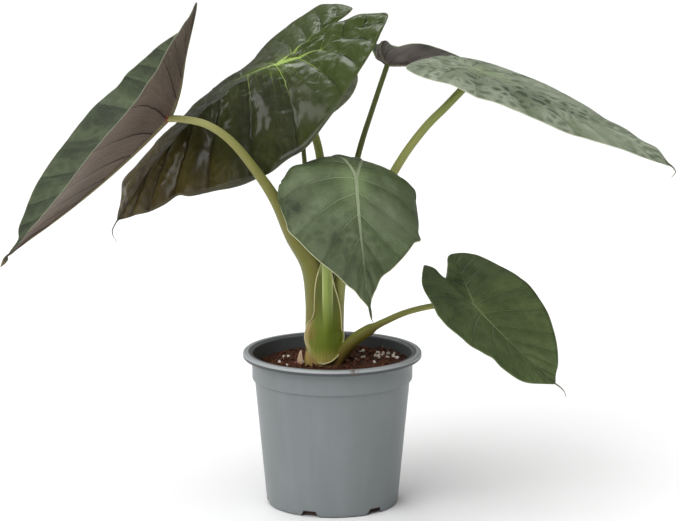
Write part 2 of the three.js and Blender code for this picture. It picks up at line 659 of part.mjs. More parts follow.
// Every stalk runs up to its blade's hub and is trimmed just under the blade.
function stalkSolids(leafOf) {
  const whole = [];
  return STALKS.map((stalk) => {
    const leaf = leafOf(stalk.leaf);
    const tip = stalk.stations[stalk.stations.length - 1];
    const full = { ...stalk, stations: [...stalk.stations, { ...tip, at: leaf.hub }] };
    let solid = loftSolid(full, 0).subtract(bladeSolid(leaf, BLADE_THICKNESS + 2 * TRIM_GAP));
    whole.forEach((inner) => {
      solid = solid.subtract(inner);
    });
    solid = largestPart(solid.trimByPlane([0, 0, 1], CORM_TOP + FIT_GAP));
    whole.push(loftSolid(full, FIT_GAP + 0.15));
    return { name: `petiole_${stalk.name}`, solid };
  });
}

function lathe(profile, segments) {
  const points = profile.map(([r, z]) => new THREE.Vector2(r, z));
  const geometry = new THREE.LatheGeometry(points, segments);
  geometry.rotateX(Math.PI / 2);
  return manifoldOf(geometry);
}

function manifoldOf(geometry) {
  const mesh = new SolidMesh({
    numProp: 3,
    vertProperties: new Float32Array(geometry.attributes.position.array),
    triVerts: new Uint32Array(geometry.index.array),
  });
  mesh.merge();
  const solid = new Manifold(mesh);
  if (solid.volume() > 0) return solid;
  const flipped = new SolidMesh({
    numProp: 3,
    vertProperties: mesh.vertProperties,
    triVerts: mesh.triVerts.map((_, i, all) => all[3 * Math.floor(i / 3) + (2 - (i % 3))]),
  });
  flipped.merge();
  return new Manifold(flipped);
}

function bodyRadius(z) {
  return mix(FOOT_RADIUS, SHOULDER_RADIUS, (z - FOOT_ROUND) / (COLLAR_BOTTOM - FOOT_ROUND));
}

function potProfile() {
  const rimBottom = POT_HEIGHT - RIM_DROP;
  const innerFoot = bodyRadius(FLOOR + 2) - WALL;
  return [
    [0, 0], [FOOT_RADIUS - FOOT_ROUND, 0], [FOOT_RADIUS - 1, 1], [FOOT_RADIUS, FOOT_ROUND],
    [bodyRadius(62), 62], [SHOULDER_RADIUS, COLLAR_BOTTOM], [COLLAR_RADIUS - 0.4, COLLAR_BOTTOM + 1.2],
    [COLLAR_RADIUS, rimBottom], [RIM_RADIUS - 0.5, rimBottom], [RIM_RADIUS, rimBottom + 0.6],
    [RIM_RADIUS, POT_HEIGHT - RIM_CHAMFER], [RIM_RADIUS - RIM_CHAMFER, POT_HEIGHT],
    [COLLAR_RADIUS + 0.8, POT_HEIGHT], [COLLAR_RADIUS - WALL, POT_HEIGHT - 2],
    [COLLAR_RADIUS - 0.4 - WALL, COLLAR_BOTTOM + 2.6], [SHOULDER_RADIUS - WALL, COLLAR_BOTTOM + 1],
    [bodyRadius(62) - WALL, 62], [innerFoot, FLOOR + 2], [innerFoot - 2, FLOOR], [0, FLOOR],
  ];
}

// Drainage notches in the bottom edge, wider at the foot.
function notchSolid(angle) {
  const shape = new THREE.Shape();
  shape.moveTo(-NOTCH_BOTTOM / 2, -1);
  shape.lineTo(NOTCH_BOTTOM / 2, -1);
  shape.lineTo(NOTCH_TOP / 2, NOTCH_HEIGHT);
  shape.lineTo(-NOTCH_TOP / 2, NOTCH_HEIGHT);
  shape.closePath();
  const geometry = new THREE.ExtrudeGeometry(shape, { depth: 12, bevelEnabled: false });
  geometry.rotateX(Math.PI / 2);
  geometry.translate(0, -FOOT_RADIUS + 8, 0);
  geometry.rotateZ(radians(angle));
  return manifoldOf(indexed(geometry));
}

function indexed(geometry) {
  if (geometry.index) return geometry;
  const count = geometry.attributes.position.count;
  geometry.setIndex([...Array(count).keys()]);
  return geometry;
}

function potSolid() {
  const body = lathe(potProfile(), POT_SEGMENTS);
  return NOTCH_ANGLES.reduce((solid, angle) => solid.subtract(notchSolid(angle)), body);
}

function soilHeight(x, y) {
  const lumps = Math.sin(x * 0.21 + 1.3) * Math.cos(y * 0.17) + 0.7 * Math.sin(y * 0.31 + x * 0.12);
  return SOIL_LEVEL + SOIL_TILT * x + SOIL_LUMP * lumps * 0.6;
}

// The soil fills the pot and leaves a plain round hole for the stem base.
function soilSolid() {
  const wall = (z) => Math.min(bodyRadius(z), SHOULDER_RADIUS) - WALL - SOIL_CLEARANCE;
  const levels = [[FLOOR + 0.3, 0.96], [FLOOR + 4, 1], [62, 1], [COLLAR_BOTTOM - 2, 1]];
  const points = [new THREE.Vector3(0, 0, FLOOR + 0.3)];
  const loops = levels.map(([z, share]) => (angle) => {
    const radius = wall(z) * share;
    return [radius * Math.cos(angle), radius * Math.sin(angle), z];
  });
  for (let ring = SOIL_RINGS; ring >= 1; ring -= 1) {
    const radius = (wall(COLLAR_BOTTOM) * ring) / SOIL_RINGS;
    loops.push((angle) => {
      const x = radius * Math.cos(angle);
      const y = radius * Math.sin(angle);
      return [x, y, soilHeight(x, y)];
    });
  }
  loops.forEach((loop) => {
    for (let i = 0; i < SOIL_SEGMENTS; i += 1) {
      points.push(new THREE.Vector3(...loop((2 * Math.PI * i) / SOIL_SEGMENTS)));
    }
  });
  points.push(new THREE.Vector3(0, 0, soilHeight(0, 0)));
  const faces = [];
  for (let i = 0; i < SOIL_SEGMENTS; i += 1) {
    const j = (i + 1) % SOIL_SEGMENTS;
    faces.push([0, 1 + j, 1 + i]);
    for (let k = 0; k < loops.length - 1; k += 1) {
      const low = 1 + k * SOIL_SEGMENTS;
      const high = low + SOIL_SEGMENTS;
      faces.push([low + i, low + j, high + j], [low + i, high + j, high + i]);
    }
    const lastLoop = 1 + (loops.length - 1) * SOIL_SEGMENTS;
    faces.push([lastLoop + i, lastLoop + j, points.length - 1]);
  }
  const above = POT_HEIGHT + 20;
  const holeProfile = [[0, HOLE_FLOOR], [HOLE_RADIUS, HOLE_FLOOR], [HOLE_RADIUS, above], [0, above]];
  const hole = lathe(holeProfile, 40).translate([...CROWN, 0]);
  return solidFrom(points, faces).subtract(hole);
}

function cormSolid() {
  const radius = HOLE_RADIUS - FIT_GAP;
  const base = HOLE_FLOOR + FIT_GAP;
  const profile = [
    [0, base], [radius - 6, base], [radius, base + 6],
    [radius, CORM_TOP - 3], [radius - 2.5, CORM_TOP], [0, CORM_TOP],
  ];
  return lathe(profile, 32).translate([...CROWN, 0]);
}

function geometryOf(solid) {
  const mesh = solid.getMesh();
  const geometry = new THREE.BufferGeometry();
  const positions = new Float32Array(mesh.numVert * 3);
  for (let i = 0; i < mesh.numVert; i += 1) {
    for (let axis = 0; axis < 3; axis += 1) {
      positions[3 * i + axis] = mesh.vertProperties[mesh.numProp * i + axis];
    }
  }
  geometry.setAttribute('position', new THREE.BufferAttribute(positions, 3));
  geometry.setIndex(new THREE.BufferAttribute(new Uint32Array(mesh.triVerts), 1));
  geometry.computeVertexNormals();
  return geometry;
}

function piece(name, solid, colour, roughness) {
  const material = new THREE.MeshStandardMaterial({ color: colour, roughness });
  const mesh = new THREE.Mesh(geometryOf(solid), material);
  mesh.name = name;
  return mesh;
}

const BLADE_COLOURS = {
  left: 0x4c5a3a, centre: 0x3c4a26, back_right: 0x6e625c, long_right: 0x8b9a80,
  front: 0x566a45, low_right: 0x4a5f34, hidden: 0x7d8a74,
};
const STALK_COLOURS = {
  left: 0x97904f, centre: 0x77803f, back_right: 0x5d6b37, long_right: 0x5c6534,
  front: 0x6f8a3a, low_right: 0x7c8446, hidden: 0x8d9560,
};

const group = new THREE.Group();
group.name = 'potted_aroid';
group.add(piece('pot', potSolid(), 0x82898a, 0.6));
group.add(piece('soil', soilSolid(), 0x3a2620, 1));
group.add(piece('corm', cormSolid(), 0x9c8a62, 0.8));
stalkSolids((name) => LEAVES.find((leaf) => leaf.name === name)).forEach(({ name, solid }) => {
  group.add(piece(name, solid, STALK_COLOURS[name.replace('petiole_', '')], 0.5));
});
LEAVES.forEach((leaf) => {
  group.add(piece(`leaf_${leaf.name}`, leafSolid(leaf), BLADE_COLOURS[leaf.name], 0.45));
});
group.add(piece('dried_scale', loftSolid({ facing: 250, stations: SCALE_STATIONS }, 0, 8), 0xa88a6c, 0.9));

export default group;
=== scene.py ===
# %% [markdown]
# Potted elephant-ear plant, rebuilt as a lesson. The solid model of the plant is already packed: a
# pot full of soil, a stem base, seven stalks and seven shield-shaped leaves. This script loads that
# model as a fixed frame and dresses it. Every plain solid is replaced by a finer piece that keeps
# its form, and each piece gets a material built only from nodes. Lengths are written in millimetres
# and made metres with MM, because a plant is easier to picture in millimetres.

# %% Load the frame
import math
import random

import bmesh
import bpy
from mathutils import Matrix, Vector, noise


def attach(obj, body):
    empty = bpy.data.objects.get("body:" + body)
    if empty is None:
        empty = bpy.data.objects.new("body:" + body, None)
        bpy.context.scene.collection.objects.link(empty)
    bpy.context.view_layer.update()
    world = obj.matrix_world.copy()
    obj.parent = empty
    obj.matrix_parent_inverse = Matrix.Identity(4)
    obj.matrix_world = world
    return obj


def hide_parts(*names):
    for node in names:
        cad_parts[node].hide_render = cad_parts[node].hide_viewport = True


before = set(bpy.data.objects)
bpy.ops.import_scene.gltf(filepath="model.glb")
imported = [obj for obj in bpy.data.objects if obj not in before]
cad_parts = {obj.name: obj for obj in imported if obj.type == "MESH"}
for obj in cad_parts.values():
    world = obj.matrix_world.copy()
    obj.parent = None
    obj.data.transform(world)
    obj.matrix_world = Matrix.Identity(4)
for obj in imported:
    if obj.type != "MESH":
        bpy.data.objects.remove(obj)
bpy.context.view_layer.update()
MM = 0.001
print("nodes in the frame:", len(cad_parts))

# %% [markdown]
# The photograph was taken from a little above the pot with a long lens, which keeps the leaves in
# true proportion. A camera has a place, a turn and a focal length, so those are the only numbers
# needed. The same view could be had by parenting the camera to an aim point, but plain numbers are
# easier to check.

# %% Camera
CAMERA_PLACE = (0.0073, -2.750, 0.793)  # metres
LOOK_DOWN = 11.46  # degrees
FOCAL_LENGTH = 156.76  # millimetres, for a sensor as wide as the next line says
SENSOR_WIDTH = 36
FARTHEST_SEEN = 60  # metres

camera_data = bpy.data.cameras.new("camera")
camera_data.lens = FOCAL_LENGTH
camera_data.sensor_width = SENSOR_WIDTH
camera_data.clip_end = FARTHEST_SEEN
camera = bpy.data.objects.new("camera", camera_data)
camera.location = CAMERA_PLACE
camera.rotation_euler = (math.radians(90 - LOOK_DOWN), 0, 0)
bpy.context.scene.collection.objects.link(camera)
bpy.context.scene.camera = camera
print("camera looks down by", LOOK_DOWN, "degrees")

# %% [markdown]
# Small helpers come before the pieces. One turns a finished bmesh into an object that rides on the
# frame, one reads a colour from the 0 to 255 numbers that painters and web pages use, and the rest
# are the curves that both the leaves and the stalks are drawn with.

# %% Helpers for colours, pieces and curves
def paint(red, green, blue):
    """A screen colour from 0 to 255 as the linear colour that Blender's nodes take."""
    def linear(value):
        share = value / 255
        return share / 12.92 if share <= 0.04045 else ((share + 0.055) / 1.055) ** 2.4
    return (linear(red), linear(green), linear(blue), 1.0)


def mix(a, b, t):
    return a + (b - a) * t


def clamp(value, low=0.0, high=1.0):
    return max(low, min(high, value))


def ease(low, high, value):
    """0 below low, 1 above high, and a smooth step between them."""
    t = clamp((value - low) / (high - low))
    return t * t * (3 - 2 * t)


def bezier(points, t):
    level = list(points)
    while len(level) > 1:
        level = [(mix(a[0], b[0], t), mix(a[1], b[1], t)) for a, b in zip(level, level[1:])]
    return level[0]


def piece_from(mesh_maker, name, materials, replaced=()):
    """Turns a bmesh in millimetres into a smooth object on the frame and gives it its finishes."""
    bmesh.ops.scale(mesh_maker, vec=(MM, MM, MM), verts=mesh_maker.verts[:])
    mesh = bpy.data.meshes.new(name)
    mesh_maker.to_mesh(mesh)
    mesh_maker.free()
    for material in materials:
        mesh.materials.append(material)
    mesh.shade_smooth()
    piece = bpy.data.objects.new(name, mesh)
    bpy.context.scene.collection.objects.link(piece)
    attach(piece, "root")
    if replaced:
        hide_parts(*replaced)
    return piece


def value_at(places, values, at):
    """Straight lines through (place, value) pairs, carried on past both ends."""
    last = len(places) - 2
    i = 0
    while i < last and at > places[i + 1]:
        i += 1
    t = (at - places[i]) / (places[i + 1] - places[i])
    return mix(values[i], values[i + 1], t)


print("a mid grey of 128 is", round(paint(128, 128, 128)[0], 3), "in linear light")

# %% [markdown]
# Each leaf is one flat shield-shaped drawing that is then bent. The numbers say where the stalk
# meets the blade, which way the tip points, how long and wide the two halves are, how far the two
# back lobes reach, and how each half folds, cups and waves. The halves have their own numbers,
# because no real leaf is the same on both sides. Last come small local changes. A tug names a place
# on the flat blade, how far round it the tug is felt, and how far it pulls the blade sideways and
# upwards. A shade names a place, its reach, and how much paler or darker the leaf is painted there.
# Some shades are the leaf's own tone, some are painted shade in hollows, folds and creases, and one
# is a painted highlight. A drip is the path of the thread at the tip, and a bow says how far the
# midrib swings aside at which row.

# %% Numbers of the leaves
LEAVES = {
    "left": dict(
        hub=(-152.3, -47, 378.5), heading=206.3, slope=-42.7, roll=-38.5,
        length=192, lobe_span=104, half_width=78, widest_at=-2, sinus=16,
        lobe_round=0.15, lobe_full=0.5, taper=0.56, shoulder_at=0.13,
        bend_tip=14, bend_lobes=-46, twist_tip=14, twist_lobes=4, quilt=1.1,
        left=dict(width=75, lobe=105, gap=29, flare=0.35, shoulder=13,
                  fold=24, fold_tip=-6, fold_lobe=-5, cup=-23, waves=(9, -3, 2, -3)),
        right=dict(width=83, lobe=98, gap=27, flare=0.35, shoulder=19,
                  fold=47, fold_tip=11, fold_lobe=0, cup=17, waves=(7, 2, -2, 2)),
        drip=((-1.5, -0.5, -3), (-3.6, -1, -6.5), (-6.5, -1.5, -10.5)),
        drip_halves=(1.4, 3.2, 2.6, 0.4),
        tugs=(((-29, -105), 14, (2.8, 6)), ((-14, -60), 36, (-6.4, 0)), ((50, -80), 26, (-2, 4.8)),
              ((-52, -76), 16, (-0.5, 2.6)), ((10, 181), 8, (3.4, 0)), ((0, 190), 7, (-1.2, -2.5))),
        shades=(((-25, 115), 34, 0.15), ((-30, -60), 30, 0.15), ((54, 54), 34, -0.25)),
    ),
    "centre": dict(
        hub=(-52.2, 29, 419.5), heading=195, slope=-25, roll=8,
        length=216, lobe_span=99, half_width=100, widest_at=3, sinus=55,
        lobe_round=0.57, lobe_full=0.47, taper=0.54, shoulder_at=0.16,
        bend_tip=-37, bend_lobes=-13, twist_tip=6, twist_lobes=-3, quilt=2.2,
        left=dict(width=106, lobe=104, gap=41, flare=-0.3, shoulder=16,
                  fold=-23, fold_tip=-30, fold_lobe=18, cup=9, waves=(4, -4, -5, 2)),
        right=dict(width=106, lobe=89, gap=23, flare=0.28, shoulder=92,
                  fold=-11, fold_tip=-4, fold_lobe=18, cup=-7, waves=(6, -1, -7, 1)),
        drip=((-4, -2, -8), (-3, -3, -14), (0.5, -4, -19)),
        tugs=(((-45, -104), 18, (5, 0)), ((23, -89), 14, (4.5, -0.5)), ((70, -72), 14, (0, 3)),
              ((104, -12), 22, (-3.2, 3)), ((105, 55), 20, (1.3, -1.5)), ((55, 186), 18, (-5.2, 1)),
              ((-80, 105), 25, (0, -1.7)), ((-41, 164), 9, (0, 4.4)), ((-20, 188), 17, (0, -4.6)),
              ((-104, 28), 20, (0, -4.6)), ((-96, 66), 20, (0, -4.2)), ((-14, -86), 14, (-1.2, 3.4)),
              ((0, -64), 10, (-2, 4)), ((88, 140), 22, (1.4, -1.6)), ((-7, 206), 9, (0, -2.2))),
        bow=((8.2, 9.2, 10, 10.9, 12, 13.5, 14.4, 15.8, 19.4),
             (0, 0.06, 0.17, 0.32, 0.36, 0.28, 0.21, 0.16, 0)),
        shades=(((16, -31), 16, -0.15),),
    ),
    "back_right": dict(
        hub=(54, 112, 409), heading=15, slope=-8, roll=12,
        length=141, lobe_span=27, half_width=37, widest_at=2, sinus=13,
        lobe_round=0.56, lobe_full=0.5, taper=0.41, shoulder_at=0.24,
        bend_tip=-10, bend_lobes=-62, twist_tip=4, twist_lobes=4, quilt=0.7,
        left=dict(width=37, lobe=27, gap=21, flare=0.35, shoulder=7.5,
                  fold=40, fold_tip=-15, fold_lobe=1, cup=-5, waves=(0, 0, 0, 0)),
        right=dict(width=37, lobe=27, gap=21, flare=0.35, shoulder=7.5,
                  fold=27, fold_tip=-8, fold_lobe=8, cup=-4, waves=(-7, 2.5, 0, 0)),
        drip=(),
        tugs=(((36, 45), 45, (0.5, 3.4)),),
        # The darkest shade, at (31, 27), is painted shade in a fold of the blade.
        shades=(((22, -14), 12, 0.5), ((31, 27), 9, -0.95), ((24, 44), 9, -0.5), ((8, 10), 7, 0.3)),
    ),
    "long_right": dict(
        hub=(139.5, 25.5, 413), heading=338, slope=-16.6, roll=12,
        length=206, lobe_span=62, half_width=78, widest_at=2, sinus=50,
        lobe_round=0.56, lobe_full=0.5, taper=0.47, shoulder_at=0.15,
        bend_tip=-12, bend_lobes=11, twist_tip=-3, twist_lobes=-1, quilt=1.6,
        left=dict(width=78, lobe=55, gap=47, flare=0.35, shoulder=18,
                  fold=5, fold_tip=4, fold_lobe=-2, cup=0, waves=(2, 0, -3, -3)),
        right=dict(width=79, lobe=59, gap=44, flare=0.35, shoulder=22,
                  fold=-10, fold_tip=-6, fold_lobe=-4, cup=-3, waves=(-3, -2.5, -2, -3)),
        drip=((2.5, 0, -3), (3.5, 0, -6), (0, 0, -10.5)),
        tugs=(((-78, 15), 60, (0, 1.4)), ((-50, 118), 20, (-0.5, -2.6)), ((-14, 184), 15, (1.5, 3.2)),
              ((54, 115), 20, (0, -2)), ((30, 160), 14, (0, 1.4)), ((77, 28), 10, (0, -1.8))),
        # The pale shade at (-40, 77) is a painted highlight on the strip along the far margin.
        shades=(((35, 25), 26, -0.25), ((14, 60), 26, -0.35), ((10, 100), 24, -0.25), ((25, 138), 26, 0.4),
                ((-40, 77), 22, 0.5)),
    ),
    "front": dict(
        hub=(22, -57, 325), heading=275, slope=-50, roll=10,
        length=158, lobe_span=88, half_width=71, widest_at=-5, sinus=32,
        lobe_round=0.72, lobe_full=0.62, taper=0.49, shoulder_at=0.34,
        bend_tip=14, bend_lobes=122, twist_tip=-24, twist_lobes=-1, quilt=1.2,
        left=dict(width=74, lobe=92, gap=32, flare=0.35, shoulder=-1.5,
                  fold=-15, fold_tip=3, fold_lobe=4, cup=-19, waves=(6, -5, 0.5, 0)),
        right=dict(width=76, lobe=90, gap=30, flare=0.35, shoulder=-1,
                  fold=2, fold_tip=-14, fold_lobe=-8, cup=-34, waves=(-6, -1, 1, 0)),
        drip=((1, -1, -2), (1.9, -1.8, -3.6)),
        drip_roots=((17, 2.3, 0.3), (13, 2.4, 0.5), (9, 1.9, 0.7), (5, 1.3, 0.7)),
        drip_halves=(0.8, 0.5, 0.25),
        tugs=(((75, -12), 16, (6.4, -2.4)), ((72, -48), 20, (5, 0)), ((60, -20), 15, (-1.5, 5.5)),
              ((-72, -41), 20, (-6.2, -1)), ((-62, -20), 14, (0, 4.8)), ((-60, 50), 6, (4, -2.6)),
              ((-17, 111), 12, (-1.8, 1.8)), ((64, 46), 8, (-3, 0)), ((17, 112), 10, (0, -2.2)),
              ((5, 130), 10, (-1.6, -1.4)), ((76, -30), 9, (2.8, -2.4))),
        # The darkest shade, at (61, 25), is painted shade in a hollow of the blade.
        shades=(((22, 66), 22, -0.55), ((4, 100), 24, -0.5), ((61, 25), 13, -0.85), ((-32, 38), 24, 0.3)),
    ),
    "low_right": dict(
        hub=(133, -26, 198), heading=324, slope=-38, roll=-5,
        length=112, lobe_span=56, half_width=63, widest_at=-2.5, sinus=39,
        lobe_round=0.48, lobe_full=0.5, taper=0.49, shoulder_at=0.09,
        bend_tip=8, bend_lobes=10, twist_tip=-5, twist_lobes=5, quilt=0.9,
        left=dict(width=66, lobe=58, gap=31, flare=0.35, shoulder=19,
                  fold=8.5, fold_tip=11, fold_lobe=4, cup=8, waves=(-3, 2, 1.5, 1.5)),
        right=dict(width=63, lobe=52, gap=23.5, flare=0.35, shoulder=26,
                  fold=5, fold_tip=-3, fold_lobe=18, cup=9, waves=(-7, -2, 4, -3)),
        drip=((4, -2, -2.5), (8, -4, -6.5), (9.5, -5, -11), (8, -5, -15)),
        tugs=(((-8, 106), 9, (-1.8, 0)), ((-27, -56), 8, (-1.8, 1)), ((54, -32), 14, (-2.4, -0.4)),
              ((55, 42), 10, (-1, -2)), ((45, 64), 7, (0.5, 2.4)), ((26, 92), 15, (-0.4, -3.6)),
              ((13, -48), 9, (1.4, 2.2))),
        # Most of the dark shades near the stalk are painted shade in creases of the blade.
        shades=(((30, -11), 12, -0.45), ((4, -9), 6, -0.5), ((-7, -30), 10, -0.6), ((-27, -37), 7, -0.45),
                ((-34, -22), 6, -0.4), ((-45, -34), 8, 0.15)),
    ),
    "hidden": dict(
        hub=(-16, 72, 404), heading=262, slope=-46, roll=4,
        length=58, lobe_span=30, half_width=38, widest_at=0, sinus=14,
        lobe_round=0.6, lobe_full=0.5, taper=0.5, shoulder_at=0.14,
        bend_tip=-14, bend_lobes=20, twist_tip=0, twist_lobes=0, quilt=0.7,
        left=dict(width=39, lobe=30, gap=18, flare=0.35, shoulder=12,
                  fold=-6, fold_tip=0, fold_lobe=0, cup=-10, waves=(0, 1.5, 0, -1)),
        right=dict(width=37, lobe=30, gap=17, flare=0.35, shoulder=12,
                  fold=-6, fold_tip=0, fold_lobe=0, cup=-10, waves=(1, 0, -2, 0)),
        drip=(),
        tugs=(((-39, 0), 30, (2.2, -0.5)),),
    ),
}
print("leaves:", ", ".join(LEAVES))

# %% [markdown]
# Every leaf of this kind has the same plan of veins. A midrib runs from the stalk to the tip, one
# strong rib runs down each back lobe, and side veins leave them and sweep forward to the margin. So
# the flat blade is drawn in rows and columns: a row is a line from the rib to the margin, and the
# margin itself is a pair of smooth curves. The veins are given in the same rows, which is why they
# always start on the rib and end on the margin.

# %% The flat blade
LOBE_ROWS = 8  # rows along the back lobe
SINUS_ROW = 5  # the row of the notch between the lobes
ROWS = 24
VEIN_SWEEP = 0.12
MIDRIB_SPACING = 1.2
INNER_TURN = 0.6  # how far the inner edge of a lobe is drawn in, as a share of the outer edge
FLARE_DEPTH = 0.35  # where the notch opens, as a share of its depth
LEAN_ROUND = 1.6
VEIN_ROWS = (-0.6, 1.6, 3.2, 4.9, 6.5, 8.3, 10.4, 13.0, 15.6, 18.2, 20.6, 22.6, 24.6)
VEIN_LEANS = (0.0, 0.1, 0.2, 0.1, 0.0, 1.2, 2.2, 2.8, 2.7, 2.2, 1.5, 0.7, 0.0)
VEIN_NUMBERS = tuple(range(len(VEIN_ROWS)))


def margin_point(leaf, side, row):
    lobe_end = (side["gap"], -side["lobe"])
    widest = (side["width"], leaf["widest_at"])
    if row <= LOBE_ROWS:
        lobe_turn = (mix(side["gap"], side["width"], leaf["lobe_round"]), -side["lobe"])
        rise = leaf["widest_at"] - leaf["lobe_full"] * (leaf["widest_at"] + side["lobe"])
        return bezier((lobe_end, lobe_turn, (side["width"], rise), widest), row / LOBE_ROWS)
    reach = leaf["length"] - leaf["widest_at"]
    flank = (side["width"], leaf["widest_at"] + leaf["taper"] * reach)
    shoulder = (side["shoulder"], leaf["length"] - leaf["shoulder_at"] * reach)
    t = (row - LOBE_ROWS) / (ROWS - LOBE_ROWS)
    return bezier((widest, flank, shoulder, (0, leaf["length"])), t)


def inner_point(leaf, side, row):
    """The inner edge of a lobe, round to the notch, then up the middle to the stalk."""
    if row >= SINUS_ROW:
        return (0, -leaf["sinus"] * (LOBE_ROWS - row) / (LOBE_ROWS - SINUS_ROW))
    depth = side["lobe"] - leaf["sinus"]
    lobe_end = (side["gap"], -side["lobe"])
    lobe_turn = (side["gap"] * (1 - INNER_TURN * leaf["lobe_round"]), -side["lobe"])
    flare = (side["gap"] * side["flare"], -leaf["sinus"] - FLARE_DEPTH * depth)
    return bezier((lobe_end, lobe_turn, flare, (0, -leaf["sinus"])), row / SINUS_ROW)


def spine_point(leaf, side, row):
    """The main rib: up from the end of the lobe to the stalk, then along the midrib."""
    if row <= LOBE_ROWS:
        t = 1 - row / LOBE_ROWS
        return (side["gap"] * t, -side["lobe"] * t)
    t = (row - LOBE_ROWS) / (ROWS - LOBE_ROWS)
    return (0, leaf["length"] * t ** MIDRIB_SPACING)


def blade_point(leaf, side, row, across, inner):
    start = spine_point(leaf, side, row)
    end = inner_point(leaf, side, row) if inner else margin_point(leaf, side, row)
    sweep = 0 if inner else VEIN_SWEEP * abs(end[0] - start[0])
    middle = ((start[0] + end[0]) / 2, (start[1] + end[1]) / 2 - sweep)
    return bezier((start, middle, end), across)


def vein_phase(row, across, inner):
    """Counts the side veins: a whole number lies on a vein and a half lies between two."""
    lean = 0 if inner else 1 - (1 - across) ** LEAN_ROUND
    places = [row_at_rib + lean * shift for row_at_rib, shift in zip(VEIN_ROWS, VEIN_LEANS)]
    return value_at(places, VEIN_NUMBERS, row)


def drawn_share(leaf, sign, row, across):
    """The share of the way from the midrib to the margin, on a leaf whose midrib bows to one side."""
    bow = value_at(*leaf["bow"], row) if "bow" in leaf else 0
    from_midrib = sign * across - bow
    return abs(from_midrib) / (1 - bow if from_midrib > 0 else 1 + bow)


def distance(a, b):
    return math.hypot(a[0] - b[0], a[1] - b[1])


tip_row = spine_point(LEAVES["front"], LEAVES["front"]["left"], ROWS)
print("front leaf: the tip lies", tip_row[1], "mm from the stalk")

# %% [markdown]
# A flat drawing becomes a leaf by bending it. The steps run in a fixed order: the half is folded
# up or down along the rib, cupped across, lifted by a few soft waves at the margin, twisted round
# the midrib, and last the midrib itself is bent. Bending with a modifier would do one of these, but
# the formula does all five at once and gives the same blade as the solid model.

# %% Bending the blade
WAVE_ON_LOBE = -0.5
WAVE_PLACES = (0.1, 0.45, 0.75)
WAVE_REACHES = (0.16, 0.16, 0.16, 0.13)
NEARLY_NOTHING = 1e-6  # stands in for an angle of 0, which can't be divided by
HELD_WITHIN = 4  # the stalk holds the blade this close, in mm
FREE_BEYOND = 18


def wave_lift(leaf, side, u, v):
    centres = [WAVE_ON_LOBE * leaf["lobe_span"]] + [share * leaf["length"] for share in WAVE_PLACES]
    lift = 0
    for height, centre, reach in zip(side["waves"], centres, WAVE_REACHES):
        lift += height * math.exp(-((v - centre) / (reach * leaf["length"])) ** 2)
    return lift * (u / leaf["half_width"]) ** 2


def bend_point(leaf, side, sign, flat, puff):
    u, v = flat
    towards_tip = v >= 0
    share = v / leaf["length"] if towards_tip else -v / leaf["lobe_span"]
    turn = leaf["bend_tip"] / leaf["length"] if towards_tip else -leaf["bend_lobes"] / leaf["lobe_span"]
    curve = math.radians(turn) or NEARLY_NOTHING
    angle = curve * v
    fold = math.radians(side["fold"] + share * side["fold_tip" if towards_tip else "fold_lobe"])
    cup = math.radians(side["cup"]) * u / (2 * leaf["half_width"])
    out = u * math.sin(cup) / cup if abs(cup) > NEARLY_NOTHING else u
    flat_x = sign * out * math.cos(fold + cup)
    lift = out * math.sin(fold + cup) + wave_lift(leaf, side, u, v) + puff
    twist = math.radians(share * leaf["twist_tip" if towards_tip else "twist_lobes"])
    x = flat_x * math.cos(twist) - lift * math.sin(twist)
    z = flat_x * math.sin(twist) + lift * math.cos(twist)
    along_y = math.sin(angle) / curve
    along_z = (1 - math.cos(angle)) / curve
    return Vector((x, along_y - z * math.sin(angle), along_z + z * math.cos(angle)))


def leaf_place(leaf):
    """The matrix that carries a bent blade to its stalk."""
    heading, slope, roll = (math.radians(leaf[key]) for key in ("heading", "slope", "roll"))
    flat_way = Vector((math.cos(heading), math.sin(heading), 0))
    tip = flat_way * math.cos(slope) + Vector((0, 0, math.sin(slope)))
    up = flat_way * -math.sin(slope) + Vector((0, 0, math.cos(slope)))
    right = tip.cross(up)
    rolled_right = right * math.cos(roll) + up * math.sin(roll)
    rolled_up = up * math.cos(roll) - right * math.sin(roll)
    turned = Matrix((rolled_right, tip, rolled_up)).transposed()
    return Matrix.Translation(leaf["hub"]) @ turned.to_4x4()


def tugged(leaf, place, side, sign, flat, puff=0):
    """A bent point in its place on the plant, after the leaf's own small tugs."""
    point = place @ bend_point(leaf, side, sign, flat, puff)
    at = (sign * flat[0], flat[1])
    free = ease(HELD_WITHIN, FREE_BEYOND, math.hypot(*at))
    for centre, reach, (sideways, upwards) in leaf["tugs"]:
        share = free * math.exp(-(distance(at, centre) / reach) ** 2)
        point += Vector((sideways * share, 0, upwards * share))
    return point


centre = LEAVES["centre"]
bent_tip = bend_point(centre, centre["left"], -1, (0, centre["length"]), 0)
print("centre leaf: the midrib ends at", tuple(round(value) for value in leaf_place(centre) @ bent_tip))

# %% [markdown]
# The blade between two side veins swells into a soft pleat, and the veins lie in the grooves. This
# relief is real form, so it goes into the mesh and not only into a bump. The height of a pleat is
# a rounded arch between two veins that fades at the rib, the margin and the tip. A little fixed
# noise keeps one pleat from being the copy of the next, and the big glossy leaf has puckers too.

# %% Relief of the blade
PLEAT_STRENGTH = {"left": 1.5, "centre": 1.7, "back_right": 1.3, "long_right": 1.3,
                  "front": 1.3, "low_right": 1.3, "hidden": 1.2}
PUCKERS = {"centre": 1.5}  # how high the blade of a leaf puckers
PUCKER_SIZE = (15, 12)  # across the leaf and along it
SOFT_NOISE = (17, 31)  # the size of the lumps, and a length that sets each leaf's noise apart
FINE_NOISE = (6, 13)
SOFT_LIFT = 0.5
FINE_LIFT = 0.16


def pucker_lift(name, across, flat):
    place = Vector((flat[0] / PUCKER_SIZE[0], flat[1] / PUCKER_SIZE[1], 0))
    return PUCKERS.get(name, 0) * noise.variable_lacunarity(place, 1.6) * math.sin(math.pi * across ** 0.7)


def blade_noise(leaf, flat, lumps):
    size, apart = lumps
    return noise.noise(Vector((flat[0] / size, flat[1] / size, leaf["length"] / apart)))


